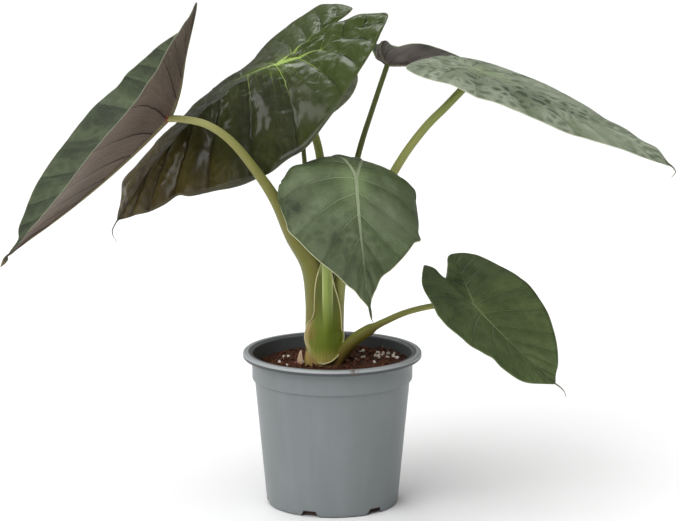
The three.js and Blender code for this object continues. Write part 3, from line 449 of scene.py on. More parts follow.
def pleat_lift(leaf, name, row, across, inner, flat):
    phase = vein_phase(row, across, inner)
    arch = abs(math.sin(math.pi * phase)) ** 0.8
    fade = clamp((ROWS - row) / 3) * clamp(row / 2)
    if inner:
        fade *= clamp((LOBE_ROWS - row) / 3)
    pleat = leaf["quilt"] * PLEAT_STRENGTH[name] * arch * math.sin(math.pi * across ** 0.8) * fade
    soft = blade_noise(leaf, flat, SOFT_NOISE)
    fine = blade_noise(leaf, flat, FINE_NOISE)
    loose = SOFT_LIFT * soft + FINE_LIFT * fine + pucker_lift(name, across, flat)
    return pleat + loose * min(1, across * 5) * min(1, 4 * fade)


on_pleat = pleat_lift(LEAVES["centre"], "centre", 11.8, 0.5, False, (40, 60))
print("a pleat on the centre leaf rises", round(on_pleat, 2), "mm")

# %% [markdown]
# Each corner of a blade keeps what the material needs to know: its count between the side veins,
# the gap between two of them, its distance from the rib and the margin, how far along and across
# the blade it lies, and how much paler or darker the leaf is painted there, partly for its own tone
# and partly as painted shade and highlight. These facts survive every later step, which a painted
# map would not do as simply.

# %% Facts at the corners of a blade
FACTS = ("phase", "gap", "rib", "margin", "along", "across", "shade")
USUAL_LENGTH = 200  # of the leaf that the ribs' sizes below are given for
MIDRIB_HALVES = (2.6, 0.35)  # half its width, at the stalk and at the tip
LOBE_RIB_HALVES = (2.3, 0.3)
RIB_THINNING = 0.8
COUNT_STEP = 0.15  # how far before and after a corner its veins are counted


def rib_half_width(leaf, v):
    size = leaf["length"] / USUAL_LENGTH
    if v >= 0:
        return size * mix(*MIDRIB_HALVES, clamp(v / leaf["length"]) ** RIB_THINNING)
    return size * mix(*LOBE_RIB_HALVES, clamp(-v / leaf["lobe_span"]) ** RIB_THINNING)


def shade_at(leaf, sign, flat):
    """How much paler or darker the leaf is painted here than as a whole: its own tone, painted shade and
    highlight.
    """
    at = (sign * flat[0], flat[1])
    return sum(amount * math.exp(-(distance(at, middle) / reach) ** 2)
               for middle, reach, amount in leaf.get("shades", ()))


def rib_distance(leaf, side, flat, row, drawn):
    """Distance from the midrib, or on the lobes from the rib that runs to the lobe's end."""
    u, v = flat
    if "bow" in leaf and row > LOBE_ROWS:
        return drawn * distance(spine_point(leaf, side, row), margin_point(leaf, side, row))
    if v >= 0:
        return abs(u)
    rib = Vector((side["gap"], -side["lobe"]))
    along = clamp(Vector(flat).dot(rib) / rib.length_squared)
    return (Vector(flat) - rib * along).length


def margin_distance(leaf, side, row, flat, inner):
    edge = inner_point if inner else margin_point
    last = SINUS_ROW if inner else ROWS
    near = [clamp(row + step / 3, 0, last) for step in range(-7, 8)]
    return min(distance(flat, edge(leaf, side, place)) for place in near)


def vein_gap(leaf, side, row, across, inner, drawn):
    """The distance between two side veins at this corner."""
    after = min(row + COUNT_STEP, ROWS)
    before = max(row - COUNT_STEP, 0)
    counted = vein_phase(after, drawn, inner) - vein_phase(before, drawn, inner)
    ends = [blade_point(leaf, side, place, across, inner) for place in (after, before)]
    return distance(*ends) / max(counted, 0.01)


def corner_facts(leaf, side, sign, flat, row, across, inner):
    drawn = across if inner else drawn_share(leaf, sign, row, across)
    gap = vein_gap(leaf, side, row, across, inner, drawn)
    rib = rib_distance(leaf, side, flat, row, drawn) / rib_half_width(leaf, flat[1])
    margin = margin_distance(leaf, side, row, flat, inner)
    along = flat[1] / leaf["length"] if flat[1] >= 0 else flat[1] / leaf["lobe_span"]
    return (vein_phase(row, drawn, inner), gap, rib, margin, along, drawn, shade_at(leaf, sign, flat))


front = LEAVES["front"]
middle_facts = corner_facts(front, front["left"], -1, (30, 40), 13, 0.5, False)
print("half way across the front leaf:", {fact: round(value, 2) for fact, value in zip(FACTS, middle_facts)})

# %% [markdown]
# The blade starts as four flat grids: an outer and an inner patch for each half. A grid knows its
# rows and columns, so moving its corners by the formula is all it takes, and merging the doubles
# along the ribs closes them into one sheet. The columns crowd near the rib, where the underside
# has its thick rib. A live modifier then gives the sheet its thickness, so the sheet stays easy to
# build, and a vertex group makes it thicker at the ribs.

# %% Building a blade
STEPS_PER_ROW = 6
BLADE_COLUMNS = 26
COLUMN_CROWDING = 1.7
SHEET = 0.7  # thickness of the blade
THICKEST = 3.4  # at the rib beside the stalk
RIB_SPREAD = 1.25  # where the rib ends, in its own half widths
FLAT_UNIT = 100  # millimetres to one unit of the flat map


def add_patch(mesh_maker, layers, leaf, name, side, sign, place, inner):
    rows = LOBE_ROWS if inner else ROWS
    columns = BLADE_COLUMNS // 2 if inner else BLADE_COLUMNS
    made = bmesh.ops.create_grid(
        mesh_maker, x_segments=columns, y_segments=rows * STEPS_PER_ROW, size=0.5)
    for corner in made["verts"]:
        row = (corner.co.y + 0.5) * rows
        across = (corner.co.x + 0.5) ** COLUMN_CROWDING
        flat = blade_point(leaf, side, row, across, inner)
        drawn = across if inner else drawn_share(leaf, sign, row, across)
        lift = pleat_lift(leaf, name, row, drawn, inner, flat)
        corner.co = tugged(leaf, place, side, sign, flat, lift)
        corner[layers["flat_u"]], corner[layers["flat_v"]] = sign * flat[0], flat[1]
        for fact, value in zip(FACTS, corner_facts(leaf, side, sign, flat, row, across, inner)):
            corner[layers[fact]] = value
    if (sign < 0) != inner:
        faces = list({face for corner in made["verts"] for face in corner.link_faces})
        bmesh.ops.reverse_faces(mesh_maker, faces=faces)


def blade_sheet(name):
    """The bent blade as one open sheet, in millimetres, its faces towards its upper side."""
    leaf = LEAVES[name]
    place = leaf_place(leaf)
    mesh_maker = bmesh.new()
    layers = {fact: mesh_maker.verts.layers.float.new(fact) for fact in FACTS + ("flat_u", "flat_v")}
    for side, sign in ((leaf["left"], -1), (leaf["right"], 1)):
        for inner in (False, True):
            add_patch(mesh_maker, layers, leaf, name, side, sign, place, inner)
    bmesh.ops.remove_doubles(mesh_maker, verts=mesh_maker.verts[:], dist=0.02)
    flat_map = mesh_maker.loops.layers.uv.new("flat_blade")
    for face in mesh_maker.faces:
        for loop in face.loops:
            flat = (loop.vert[layers["flat_u"]], loop.vert[layers["flat_v"]])
            loop[flat_map].uv = (flat[0] / FLAT_UNIT, flat[1] / FLAT_UNIT)
    return mesh_maker, layers


def rib_share(rib, along):
    """The thickness at a place, as a share of the thickest place."""
    bulge = math.sqrt(max(0, 1 - (rib / RIB_SPREAD) ** 2))
    taper = 1 - 0.85 * clamp(abs(along)) ** 0.7
    return (SHEET + (THICKEST - SHEET) * bulge * taper) / THICKEST


def thicken(blade, shares):
    """Gives the sheet its thickness downwards, as a share of the thickest at each corner."""
    group = blade.vertex_groups.new(name="rib_thickness")
    for index, share in enumerate(shares):
        group.add([index], share, "REPLACE")
    solid = blade.modifiers.new("thickness", "SOLIDIFY")
    solid.thickness = THICKEST * MM
    solid.offset = -1
    solid.vertex_group = group.name
    solid.material_offset = 1
    solid.material_offset_rim = 0


def build_blade(name, upper, under):
    mesh_maker, layers = blade_sheet(name)
    shares = [rib_share(corner[layers["rib"]], corner[layers["along"]]) for corner in mesh_maker.verts]
    blade = piece_from(mesh_maker, f"blade_{name}", [upper, under], [f"leaf_{name}"])
    thicken(blade, shares)
    return blade


print("a blade is", SHEET, "mm thick and its midrib up to", THICKEST, "mm")

# %% [markdown]
# Materials are built from nodes. A handful of helpers keeps each recipe short: one adds a node, a few
# do sums, two turn a range of values into a mask, and three mix colours by a mask. A value that goes
# into a helper may be a plain number or the socket of another node, and the new node joins the tree
# that the sockets belong to.

# %% Helpers for sums, masks and colours
def add_node(tree, kind, **settings):
    node = tree.nodes.new(kind)
    for key, value in settings.items():
        setattr(node, key, value)
    return node


def feed(socket, value):
    """Links a socket to another one, or sets a plain number on it."""
    if isinstance(value, bpy.types.NodeSocket):
        socket.id_data.links.new(value, socket)
    else:
        socket.default_value = value


def tree_of(*values):
    """The node tree that the sockets among these values belong to."""
    return next(value.id_data for value in values if isinstance(value, bpy.types.NodeSocket))


def sum_of(operation, *values):
    node = add_node(tree_of(*values), "ShaderNodeMath", operation=operation)
    for socket, value in zip(node.inputs, values):
        feed(socket, value)
    return node.outputs[0]


def times(first, second):
    return sum_of("MULTIPLY", first, second)


def plus(first, second):
    return sum_of("ADD", first, second)


def scaled(value, factor, offset):
    """The value times the factor, plus the offset."""
    return sum_of("MULTIPLY_ADD", value, factor, offset)


def mask_of(value, low, high, at_low=0.0, at_high=1.0):
    """A smooth step: at_low below low and at_high above high."""
    node = add_node(value.id_data, "ShaderNodeMapRange", interpolation_type="SMOOTHSTEP")
    for name, given in (("Value", value), ("From Min", low), ("From Max", high),
                        ("To Min", at_low), ("To Max", at_high)):
        feed(node.inputs[name], given)
    return node.outputs["Result"]


def below(value, low, high, most=1.0):
    """A mask for low values: it is at its most below low and 0 above high."""
    return mask_of(value, low, high, most, 0.0)


def vectors(tree, operation, *values):
    """A node that does sums with places or colours, three numbers at a time."""
    node = add_node(tree, "ShaderNodeVectorMath", operation=operation)
    for socket, value in zip(node.inputs, values):
        feed(socket, value)
    return node


def blend(factor, first, second, kind="MIX"):
    node = add_node(tree_of(factor, first, second), "ShaderNodeMix", data_type="RGBA", blend_type=kind)
    feed(node.inputs["Factor"], factor)
    feed(node.inputs["A"], first)
    feed(node.inputs["B"], second)
    return node.outputs["Result"]


def lay_over(colour, mask, pigment):
    """Covers a colour with another one, given from 0 to 255, where the mask is 1."""
    return blend(mask, colour, paint(*pigment))


def toned(colour, mask, dark, light):
    """Multiplies a colour by a tone that goes from dark to light with the mask."""
    return blend(1.0, colour, blend(mask, (*dark, 1), (*light, 1)), "MULTIPLY")


print("a leaf green of 118 is", round(paint(104, 118, 86)[1], 3), "on a node's socket")

# %% [markdown]
# The next helpers read the surface. A fact is a number that the mesh keeps at its corners, and the
# noise, the object's own coordinates and the flat map of the blade tell a pattern where it is.
# Nothing reads the camera, so every pattern stays on its piece from all sides.

# %% Helpers that read the surface
def fact(tree, name):
    return add_node(tree, "ShaderNodeAttribute", attribute_name=name).outputs["Fac"]


def object_place(tree):
    return add_node(tree, "ShaderNodeTexCoord").outputs["Object"]


def flat_place(tree):
    return add_node(tree, "ShaderNodeUVMap", uv_map="flat_blade").outputs["UV"]


def split_axes(vector):
    node = add_node(vector.id_data, "ShaderNodeSeparateXYZ")
    feed(node.inputs[0], vector)
    return tuple(node.outputs)


def join_axes(x, y, z=0.0):
    node = add_node(tree_of(x, y, z), "ShaderNodeCombineXYZ")
    for socket, value in zip(node.inputs, (x, y, z)):
        feed(socket, value)
    return node.outputs[0]


def set_inputs(node, **values):
    """Feeds a node's sockets. A value's name is its socket's, with a low line for each space."""
    for label, value in values.items():
        feed(node.inputs[label.replace("_", " ")], value)
    return node


def noise_of(vector, scale, detail=3.0, roughness=0.55, distortion=0.0):
    node = add_node(vector.id_data, "ShaderNodeTexNoise")
    set_inputs(node, Vector=vector, Scale=scale, Detail=detail, Roughness=roughness, Distortion=distortion)
    return node.outputs["Fac"]


def clouds(vector, scale, detail, low, high):
    """A noise with its middle stretched out, so that it has clear light and dark places."""
    return mask_of(noise_of(vector, scale, detail), low, high)


def cell_edges(vector, scale):
    """The distance to the nearest edge in a net of cells."""
    node = add_node(vector.id_data, "ShaderNodeTexVoronoi", feature="DISTANCE_TO_EDGE")
    return set_inputs(node, Vector=vector, Scale=scale).outputs["Distance"]


print("surface helpers read", len(FACTS), "facts from a blade")

# %% [markdown]
# A finish is a material with one shader. Its constant gloss is set on the shader's own sockets, and
# only what changes over the surface is linked. What several materials share is a node group with
# named inputs and outputs, which is built once and placed in each of them.

# %% Helpers for finishes and groups
def new_finish(name, roughness, coat=0.0, coat_roughness=0.2, reflection=0.5):
    """A material with its shader, its constant gloss, and nothing linked yet."""
    material = bpy.data.materials.new(name)
    material.use_nodes = True
    tree = material.node_tree
    shader = tree.nodes["Principled BSDF"]
    set_inputs(shader, Roughness=roughness, Coat_Weight=coat, Coat_Roughness=coat_roughness,
               Specular_IOR_Level=reflection)
    return material, tree, shader


def lay_on(shader, colour, roughness, height, depth):
    """Links what changes over the surface. The depth of the bump is in metres."""
    bump = add_node(shader.id_data, "ShaderNodeBump")
    set_inputs(bump, Distance=depth, Strength=1.0, Height=height)
    set_inputs(shader, Base_Color=colour, Roughness=roughness, Normal=bump.outputs["Normal"])


def new_group(name, inputs, outputs):
    """A node group with named number sockets, and its two ends."""
    tree = bpy.data.node_groups.new(name, "ShaderNodeTree")
    for label, default in inputs:
        socket = tree.interface.new_socket(label, in_out="INPUT", socket_type="NodeSocketFloat")
        socket.default_value = default
    for label in outputs:
        tree.interface.new_socket(label, in_out="OUTPUT", socket_type="NodeSocketFloat")
    return tree, add_node(tree, "NodeGroupInput"), add_node(tree, "NodeGroupOutput")


def place_group(tree, group, **values):
    return set_inputs(add_node(tree, "ShaderNodeGroup", node_tree=group), **values)


print("materials so far:", len(bpy.data.materials))

# %% [markdown]
# All seven blades share one plan of veins, so it is a node group that is built once. It reads what
# the corners of the mesh keep: the count of side veins, the gap between them, and the distances
# from rib and margin. From these it puts out masks for the side veins, the ribs, the fine lines
# between them and the pale margin, the roundness of the pleats, and a height for the bump. A
# painted picture would blur close up, and a mask worked out from the mesh stays sharp.

# %% Lines of the vein group
FINE_LINES = 5.0  # between one side vein and the next
VEIN_WANDER = 0.1  # how far a vein strays, as a share of the gap
STREAK_STRETCH = (5.0, 2.2)  # across the veins and along them
NET_SCALE = 34.0


def distance_to_line(count, gap):
    """How far the nearest line is, where a count is whole on each line."""
    from_line = sum_of("ABSOLUTE", sum_of("SUBTRACT", count, sum_of("ROUND", count)))
    return times(from_line, gap)


def side_veins(phase, gap, across, width):
    """Each side vein narrows towards the margin."""
    half = times(width, mask_of(across, 0.15, 1.0, 1.0, 0.4))
    return below(distance_to_line(phase, gap), times(half, 0.25), half)


def fine_lines(phase, gap, wander):
    count = scaled(phase, FINE_LINES, times(wander, 0.8))
    return below(distance_to_line(count, times(gap, 1 / FINE_LINES)), 0.1, 0.5)


def vein_streaks(phase, across):
    along, over = STREAK_STRETCH
    along_vein = join_axes(times(phase, along), times(across, over))
    return clouds(along_vein, 1.0, 3.0, 0.3, 0.7)


def bands_between(phase):
    """The side of each pleat that is turned to the light."""
    between = sum_of("FRACT", phase)
    return times(mask_of(between, 0.35, 0.9), below(between, 0.93, 1.0))


def vein_height(tree, given, vein, rib, fine):
    """Ribs and side veins lie in grooves, and the net of cells between them is raised."""
    cells = mask_of(cell_edges(flat_place(tree), NET_SCALE), 0.0, 0.25)
    grooves = times(sum_of("MAXIMUM", vein, rib), given.outputs["Groove"])
    fine_height = times(sum_of("SUBTRACT", cells, fine), given.outputs["Fine Relief"])
    return sum_of("SUBTRACT", fine_height, grooves)


print("fine lines between two side veins:", FINE_LINES)

# %% [markdown]
# The group puts these together. It takes how wide the veins and the pale margin are and how deep the
# relief is, and gives a mask for each kind of line and one height for the bump.

# %% Group: veins of a blade
VEIN_INPUTS = (("Vein Width", 0.8), ("Margin Width", 0.7), ("Groove", 1.0), ("Fine Relief", 0.3))
VEIN_OUTPUTS = ("Vein", "Rib", "Fine", "Margin", "Pleat", "Band", "Streak", "Near Stalk", "Height")


def vein_group():
    tree, given, put_out = new_group("veins of a blade", VEIN_INPUTS, VEIN_OUTPUTS)
    flat = flat_place(tree)
    wander = noise_of(flat, 9.0, 2.0)
    phase = plus(fact(tree, "phase"), scaled(wander, VEIN_WANDER, -VEIN_WANDER / 2))
    gap = fact(tree, "gap")
    across = fact(tree, "across")
    vein = side_veins(phase, gap, across, given.outputs["Vein Width"])
    rib = below(fact(tree, "rib"), 0.7, 1.25)
    fine = fine_lines(phase, gap, wander)
    streak = vein_streaks(phase, across)
    margin_width = given.outputs["Margin Width"]
    margin = below(fact(tree, "margin"), times(margin_width, 0.6), margin_width)
    pleat = sum_of("ABSOLUTE", sum_of("SINE", times(phase, math.pi)))
    from_stalk = vectors(tree, "LENGTH", flat)
    results = (vein, rib, times(fine, streak), margin, pleat, bands_between(phase), streak,
               from_stalk.outputs["Value"], vein_height(tree, given, vein, rib, fine))
    for label, result in zip(VEIN_OUTPUTS, results):
        feed(put_out.inputs[label], result)
    return tree


VEINS = vein_group()
print("vein group:", len(VEINS.nodes), "nodes")

# %% [markdown]
# The upper side of a blade is a smooth waxy green. It is darker in the grooves and paler on the
# pleats, which is partly the wax bloom that lies thick on the pleats and partly painted light and
# shade of the pleats, and the side of each pleat that is turned to the light gets a painted
# highlight. It is lime green round the stalk on some leaves. Each leaf catches the light at its own
# angle, so each has its own greens. The wax is a thin clear coat over the green, which gives the
# broad soft shine without making the green itself look like plastic. First come the small parts of
# that recipe: the puckers that break up the shine of the glossy leaf, the net of small cells, whose
# middles are painted darker partly as shade, and the places where one leaf is paler or darker than
# it is as a whole, which are partly its own tone and partly painted shade and highlight.

# %% Puckers, cells and shades of a blade
PUCKER_NOISE = (5.0, 0.5, 0.4, 1.6)  # scale, detail, roughness and distortion
CELL_WANDER = (0.12, 0.12, 0)
CELL_STRETCH = (0.85, 0.8, 1)
SHADE_DARK = (0.25, 0.27, 0.22, 1)
SHADE_PALE = (0.16, 0.17, 0.14, 1)


def puckers(tree):
    """Swirling swellings of the blade, about a centimetre from one to the next."""
    return noise_of(flat_place(tree), *PUCKER_NOISE)


def net_cells(tree, cell):
    """The small cells of a blade: 1 in the middle of each and 0 on the net of veins round it."""
    flat = flat_place(tree)
    wander = set_inputs(add_node(tree, "ShaderNodeTexNoise"), Vector=flat, Scale=6.0)
    place = vectors(tree, "MULTIPLY_ADD", wander.outputs["Color"], CELL_WANDER, flat)
    drawn_out = vectors(tree, "MULTIPLY", place.outputs[0], CELL_STRETCH)
    return mask_of(cell_edges(drawn_out.outputs[0], FLAT_UNIT / cell), 0.06, 0.32)


def shaded(tree, colour):
    """Darkens or pales a colour where the leaf's shades say so: its own tone, painted shade and painted
    highlight.
    """
    shade = fact(tree, "shade")
    colour = blend(times(shade, -1.0), colour, SHADE_DARK, "MULTIPLY")
    return blend(shade, colour, SHADE_PALE, "SCREEN")


def dull_at_edge(tree, shader, coat, lobe_coat):
    """The wax shines less where the blade is seen from the side, or it would turn grey there."""
    facing = add_node(tree, "ShaderNodeLayerWeight").outputs["Facing"]
    weight = mask_of(facing, 0.5, 0.9, coat, coat * 0.15)
    on_lobes = mask_of(fact(tree, "along"), -0.3, 0.15, lobe_coat, 1.0)
    feed(shader.inputs["Coat Weight"], times(weight, on_lobes))


print("cells are drawn out by", CELL_STRETCH[:2])

# %% [markdown]
# The colour is laid on in the order in which it lies on the leaf. First comes the green with its wax
# bloom, its painted light and shade on the pleats and its cells, then the colours of the tip, the
# lobes and the middle, then the veins, and last the margin. A look is a small table of the colours
# and amounts of one leaf. What a leaf doesn't name comes from the usual look.

# %% Finish of the upper side
VEIN_WIDTH = 0.9
UPPER_MARGIN_WIDTH = 0.75
USUAL_GLOSS = dict(groove=1.0, fine=0.3, depth=0.0005, lobe_coat=1.0, pucker=0)
USUAL_UPPER = dict(bloom_and_lit_pleats=0.6, margin=(150, 160, 120), vein_show=0.6, hub_reach=0.22, band=0.3,
                   vein_reach=4.0, cell=9, cell_show=0.25, margin_from=-1.0, tip=None, lobes=None,
                   far_vein=None)


def wax_and_lit_pleats(veins, place, band):
    """A mask for the wax bloom and painted light: paler on the pleats, partly as painted light and
    shade, a painted highlight on the lit side of each pleat, streaked along the veins and cloudy all over.
    """
    cloud = clouds(place, 26.0, 4.0, 0.32, 0.68)
    pleat = times(veins.outputs["Pleat"], 0.45 - 0.4 * band)
    streak = times(veins.outputs["Streak"], 0.15)
    mottle = times(clouds(place, 75.0, 2.0, 0.35, 0.65), 0.2)
    uneven = times(plus(pleat, plus(streak, mottle)), plus(cloud, 0.35))
    return scaled(veins.outputs["Band"], band, uneven)


def leaf_green(tree, look, bloom_and_lit_pleats):
    """The green under the wax, paled by the bloom and painted light, with its cells, and the own colours of
    the tip and the lobes.
    """
    paler = times(bloom_and_lit_pleats, look["bloom_and_lit_pleats"] * 1.6)
    colour = blend(paler, paint(*look["dark"]), paint(*look["light"]))
    # The middles of the cells are painted darker, partly as shade, and more so where the leaf is painted
    # darker.
    cell_painted_shade = scaled(fact(tree, "shade"), -2.4 * look["cell_show"], look["cell_show"])
    cell_painted_shade = times(net_cells(tree, look["cell"]), cell_painted_shade)
    colour = lay_over(colour, cell_painted_shade, [0.72 * value for value in look["dark"]])
    along = fact(tree, "along")
    if look["tip"]:
        tip_bloom_and_lit_pleats = blend(bloom_and_lit_pleats, *(paint(*pigment) for pigment in look["tip"]))
        colour = blend(mask_of(along, 0.3, 0.85), colour, tip_bloom_and_lit_pleats)
    if look["lobes"]:
        colour = lay_over(colour, below(along, -0.5, 0.25), look["lobes"])
    near_hub = below(sum_of("ABSOLUTE", along), 0.0, look["hub_reach"], 0.75)
    near_rib = below(fact(tree, "rib"), 1.0, 12.0)
    return lay_over(colour, times(near_hub, near_rib), look["hub"])


def draw_veins(tree, look, veins, colour):
    """Fine lines, side veins and ribs, which fade on their way to the margin and the tip."""
    near_stalk = below(veins.outputs["Near Stalk"], 0.1, look["vein_reach"])
    vein = blend(near_stalk, paint(*(look["far_vein"] or look["vein"])), paint(*look["vein"]))
    fading = mask_of(fact(tree, "across"), 0.1, 1.0, look["vein_show"], look["vein_show"] * 0.25)
    rib_fading = mask_of(sum_of("ABSOLUTE", fact(tree, "along")), 0.0, 1.0, 0.95, 0.1)
    for line, show in (("Fine", look["vein_show"] * 0.25), ("Vein", fading), ("Rib", rib_fading)):
        colour = blend(times(veins.outputs[line], show), colour, vein)
    return colour


def draw_margin(tree, look, veins, colour):
    """The pale margin, from the place where it starts until it fades at the tip."""
    along = fact(tree, "along")
    start = mask_of(along, look["margin_from"], look["margin_from"] + 0.1)
    show = times(start, mask_of(along, 0.82, 0.95, 0.85, 0.1))
    return lay_over(colour, times(veins.outputs["Margin"], show), look["margin"])


def upper_finish(name, look):
    look = USUAL_UPPER | look
    gloss = USUAL_GLOSS | look["gloss"]
    material, tree, shader = new_finish(f"blade upper side {name}", gloss["roughness"], gloss["coat"],
                                        gloss["coat_roughness"], gloss["reflection"])
    veins = place_group(tree, VEINS, Vein_Width=VEIN_WIDTH, Margin_Width=UPPER_MARGIN_WIDTH,
                        Groove=gloss["groove"], Fine_Relief=gloss["fine"])
    place = object_place(tree)
    colour = leaf_green(tree, look, wax_and_lit_pleats(veins, place, look["band"]))
    colour = draw_margin(tree, look, veins, draw_veins(tree, look, veins, colour))
    worn = scaled(noise_of(place, 90.0), 0.16, gloss["roughness"] - 0.08)
    roughness = scaled(veins.outputs["Pleat"], 0.06, worn)
    height = veins.outputs["Height"]
    if gloss["pucker"]:
        height = scaled(puckers(tree), gloss["pucker"], height)
    dull_at_edge(tree, shader, gloss["coat"], gloss["lobe_coat"])
    lay_on(shader, shaded(tree, colour), roughness, height, gloss["depth"])
    return material


SATIN = dict(roughness=0.45, coat=0.05, coat_roughness=0.35, reflection=0.35)
WAXY = dict(roughness=0.5, coat=0.05, coat_roughness=0.4, reflection=0.3)
GLOSSY = dict(roughness=0.4, coat=0.6, coat_roughness=0.13, reflection=0.15, groove=1.6, depth=0.0008,
              fine=0.05, pucker=5.0, lobe_coat=0.3)
UPPER_LOOKS = {
    "left": dict(dark=(38, 46, 28), light=(78, 88, 62), vein=(92, 100, 74), hub=(150, 90, 70), gloss=WAXY,
                 bloom_and_lit_pleats=0.7, margin=(134, 138, 116), vein_show=0.45, hub_reach=0.06, band=0.5),
    "centre": dict(dark=(24, 27, 6), light=(48, 54, 20), vein=(150, 176, 84), hub=(76, 92, 34), gloss=GLOSSY,
                   tip=((44, 33, 5), (88, 76, 32)), lobes=(54, 66, 22), margin=(84, 88, 60),
                   far_vein=(26, 30, 10), vein_show=0.8, vein_reach=0.8, hub_reach=0.3, cell_show=0.0),
    "back_right": dict(dark=(52, 62, 44), light=(84, 96, 76), vein=(92, 104, 76), hub=(96, 104, 70),
                       gloss=SATIN),
    "long_right": dict(dark=(90, 104, 76), light=(142, 150, 130), vein=(140, 150, 122), hub=(120, 138, 96),
                       gloss=WAXY, margin=(190, 196, 170), bloom_and_lit_pleats=0.95, vein_show=0.5, cell=10,
                       cell_show=0.6),
    "front": dict(dark=(64, 79, 45), light=(104, 118, 86), vein=(140, 152, 120), hub=(118, 138, 94),
                  gloss=SATIN, tip=((58, 68, 42), (88, 100, 70)), margin=(214, 214, 176), margin_from=0.1),
    "low_right": dict(dark=(56, 70, 35), light=(84, 98, 57), vein=(102, 118, 76), hub=(86, 103, 58),
                      gloss=SATIN, margin=(112, 122, 84), vein_show=0.5),
    "hidden": dict(dark=(108, 114, 92), light=(146, 150, 128), vein=(160, 164, 140), hub=(134, 138, 108),
                   gloss=WAXY),
}
UPPER = {name: upper_finish(name, look) for name, look in UPPER_LOOKS.items()}
print("upper sides:", len(UPPER))

# %% [markdown]
# The underside has no wax. It is dull, with raised ribs, and on two of the leaves it is a brown
# purple that grows paler towards the margin, as it does on this plant's older leaves. The same vein
# group serves it, with a groove below nothing, which is a ridge.

# %% Finish of the underside
UNDER_MARGIN_WIDTH = 0.8
RIDGE = -1.2  # a groove of less than nothing
USUAL_UNDER = dict(margin=(150, 140, 120), vein_show=0.6, vein_width=1.0, spot=None)
STREAK_DARK = (0.82, 0.82, 0.82)
STREAK_LIGHT = (1, 1, 1)


def under_colour(tree, look, veins, cloud):
    outward = mask_of(fact(tree, "across"), 0.2, 1.0)
    paler = plus(times(cloud, 0.45), times(outward, 0.5))
    colour = blend(paler, paint(*look["deep"]), paint(*look["pale"]))
    colour = toned(colour, veins.outputs["Streak"], STREAK_DARK, STREAK_LIGHT)
    show = look["vein_show"]
    for line, part_shown, pigment in (("Fine", show * 0.35, "vein"), ("Vein", show, "vein"),
                                      ("Rib", 0.85, "rib"), ("Margin", 0.7, "margin")):
        colour = lay_over(colour, times(veins.outputs[line], part_shown), look[pigment])
    if look["spot"]:
        spot = below(veins.outputs["Near Stalk"], 0.02, 0.05, 0.8)
        colour = lay_over(colour, spot, look["spot"])
    return shaded(tree, colour)


def under_finish(name, look):
    look = USUAL_UNDER | look
    material, tree, shader = new_finish(f"blade underside {name}", 0.55, reflection=0.3)
    veins = place_group(tree, VEINS, Vein_Width=look["vein_width"], Margin_Width=UNDER_MARGIN_WIDTH,
                        Groove=RIDGE, Fine_Relief=0.45)
    cloud = clouds(object_place(tree), 30.0, 4.0, 0.3, 0.7)
    colour = under_colour(tree, look, veins, cloud)
    lay_on(shader, colour, scaled(cloud, 0.12, 0.5), veins.outputs["Height"], 0.0006)
    return material


UNDER_LOOKS = {
    "left": dict(deep=(102, 88, 77), pale=(132, 117, 104), vein=(42, 32, 28), rib=(130, 122, 88),
                 margin=(108, 96, 88), vein_show=0.85, vein_width=1.5, spot=(150, 56, 44)),
    "centre": dict(deep=(84, 84, 62), pale=(112, 112, 92), vein=(70, 62, 48), rib=(140, 150, 92)),
    "back_right": dict(deep=(88, 78, 74), pale=(116, 110, 104), vein=(62, 50, 48), rib=(120, 112, 92)),
    "long_right": dict(deep=(106, 118, 92), pale=(132, 142, 120), vein=(90, 100, 76), rib=(140, 150, 100)),
    "front": dict(deep=(98, 112, 78), pale=(124, 136, 106), vein=(80, 92, 62), rib=(140, 154, 100)),
    "low_right": dict(deep=(92, 106, 70), pale=(118, 130, 98), vein=(76, 88, 56), rib=(132, 146, 92)),
    "hidden": dict(deep=(84, 90, 72), pale=(112, 116, 98), vein=(78, 84, 66), rib=(124, 132, 98)),
}
UNDER = {name: under_finish(name, look) for name, look in UNDER_LOOKS.items()}
print("undersides:", len(UNDER))

# %% [markdown]
# Now each blade can be built with its two finishes. The upper side takes the first slot, and the
# thickening puts the underside in the second.

# %% Build the blades
BLADES = {name: build_blade(name, UPPER[name], UNDER[name]) for name in LEAVES}
for name, blade in BLADES.items():
    print(name, "blade:", len(blade.data.vertices), "corners before thickening")

# %% [markdown]
# The stalks are hollow-looking but solid: each is a soft tube whose section changes from a broad
# crescent in the crown to a round stalk at the blade. The tube starts as a flat grid that is
# wrapped round a smooth run through a few stations. The frame of each ring is carried along without
# twisting, so streaks painted along the stalk stay straight. A curve object with a bevel would be
# quicker, but its section couldn't change from a crescent to a circle.

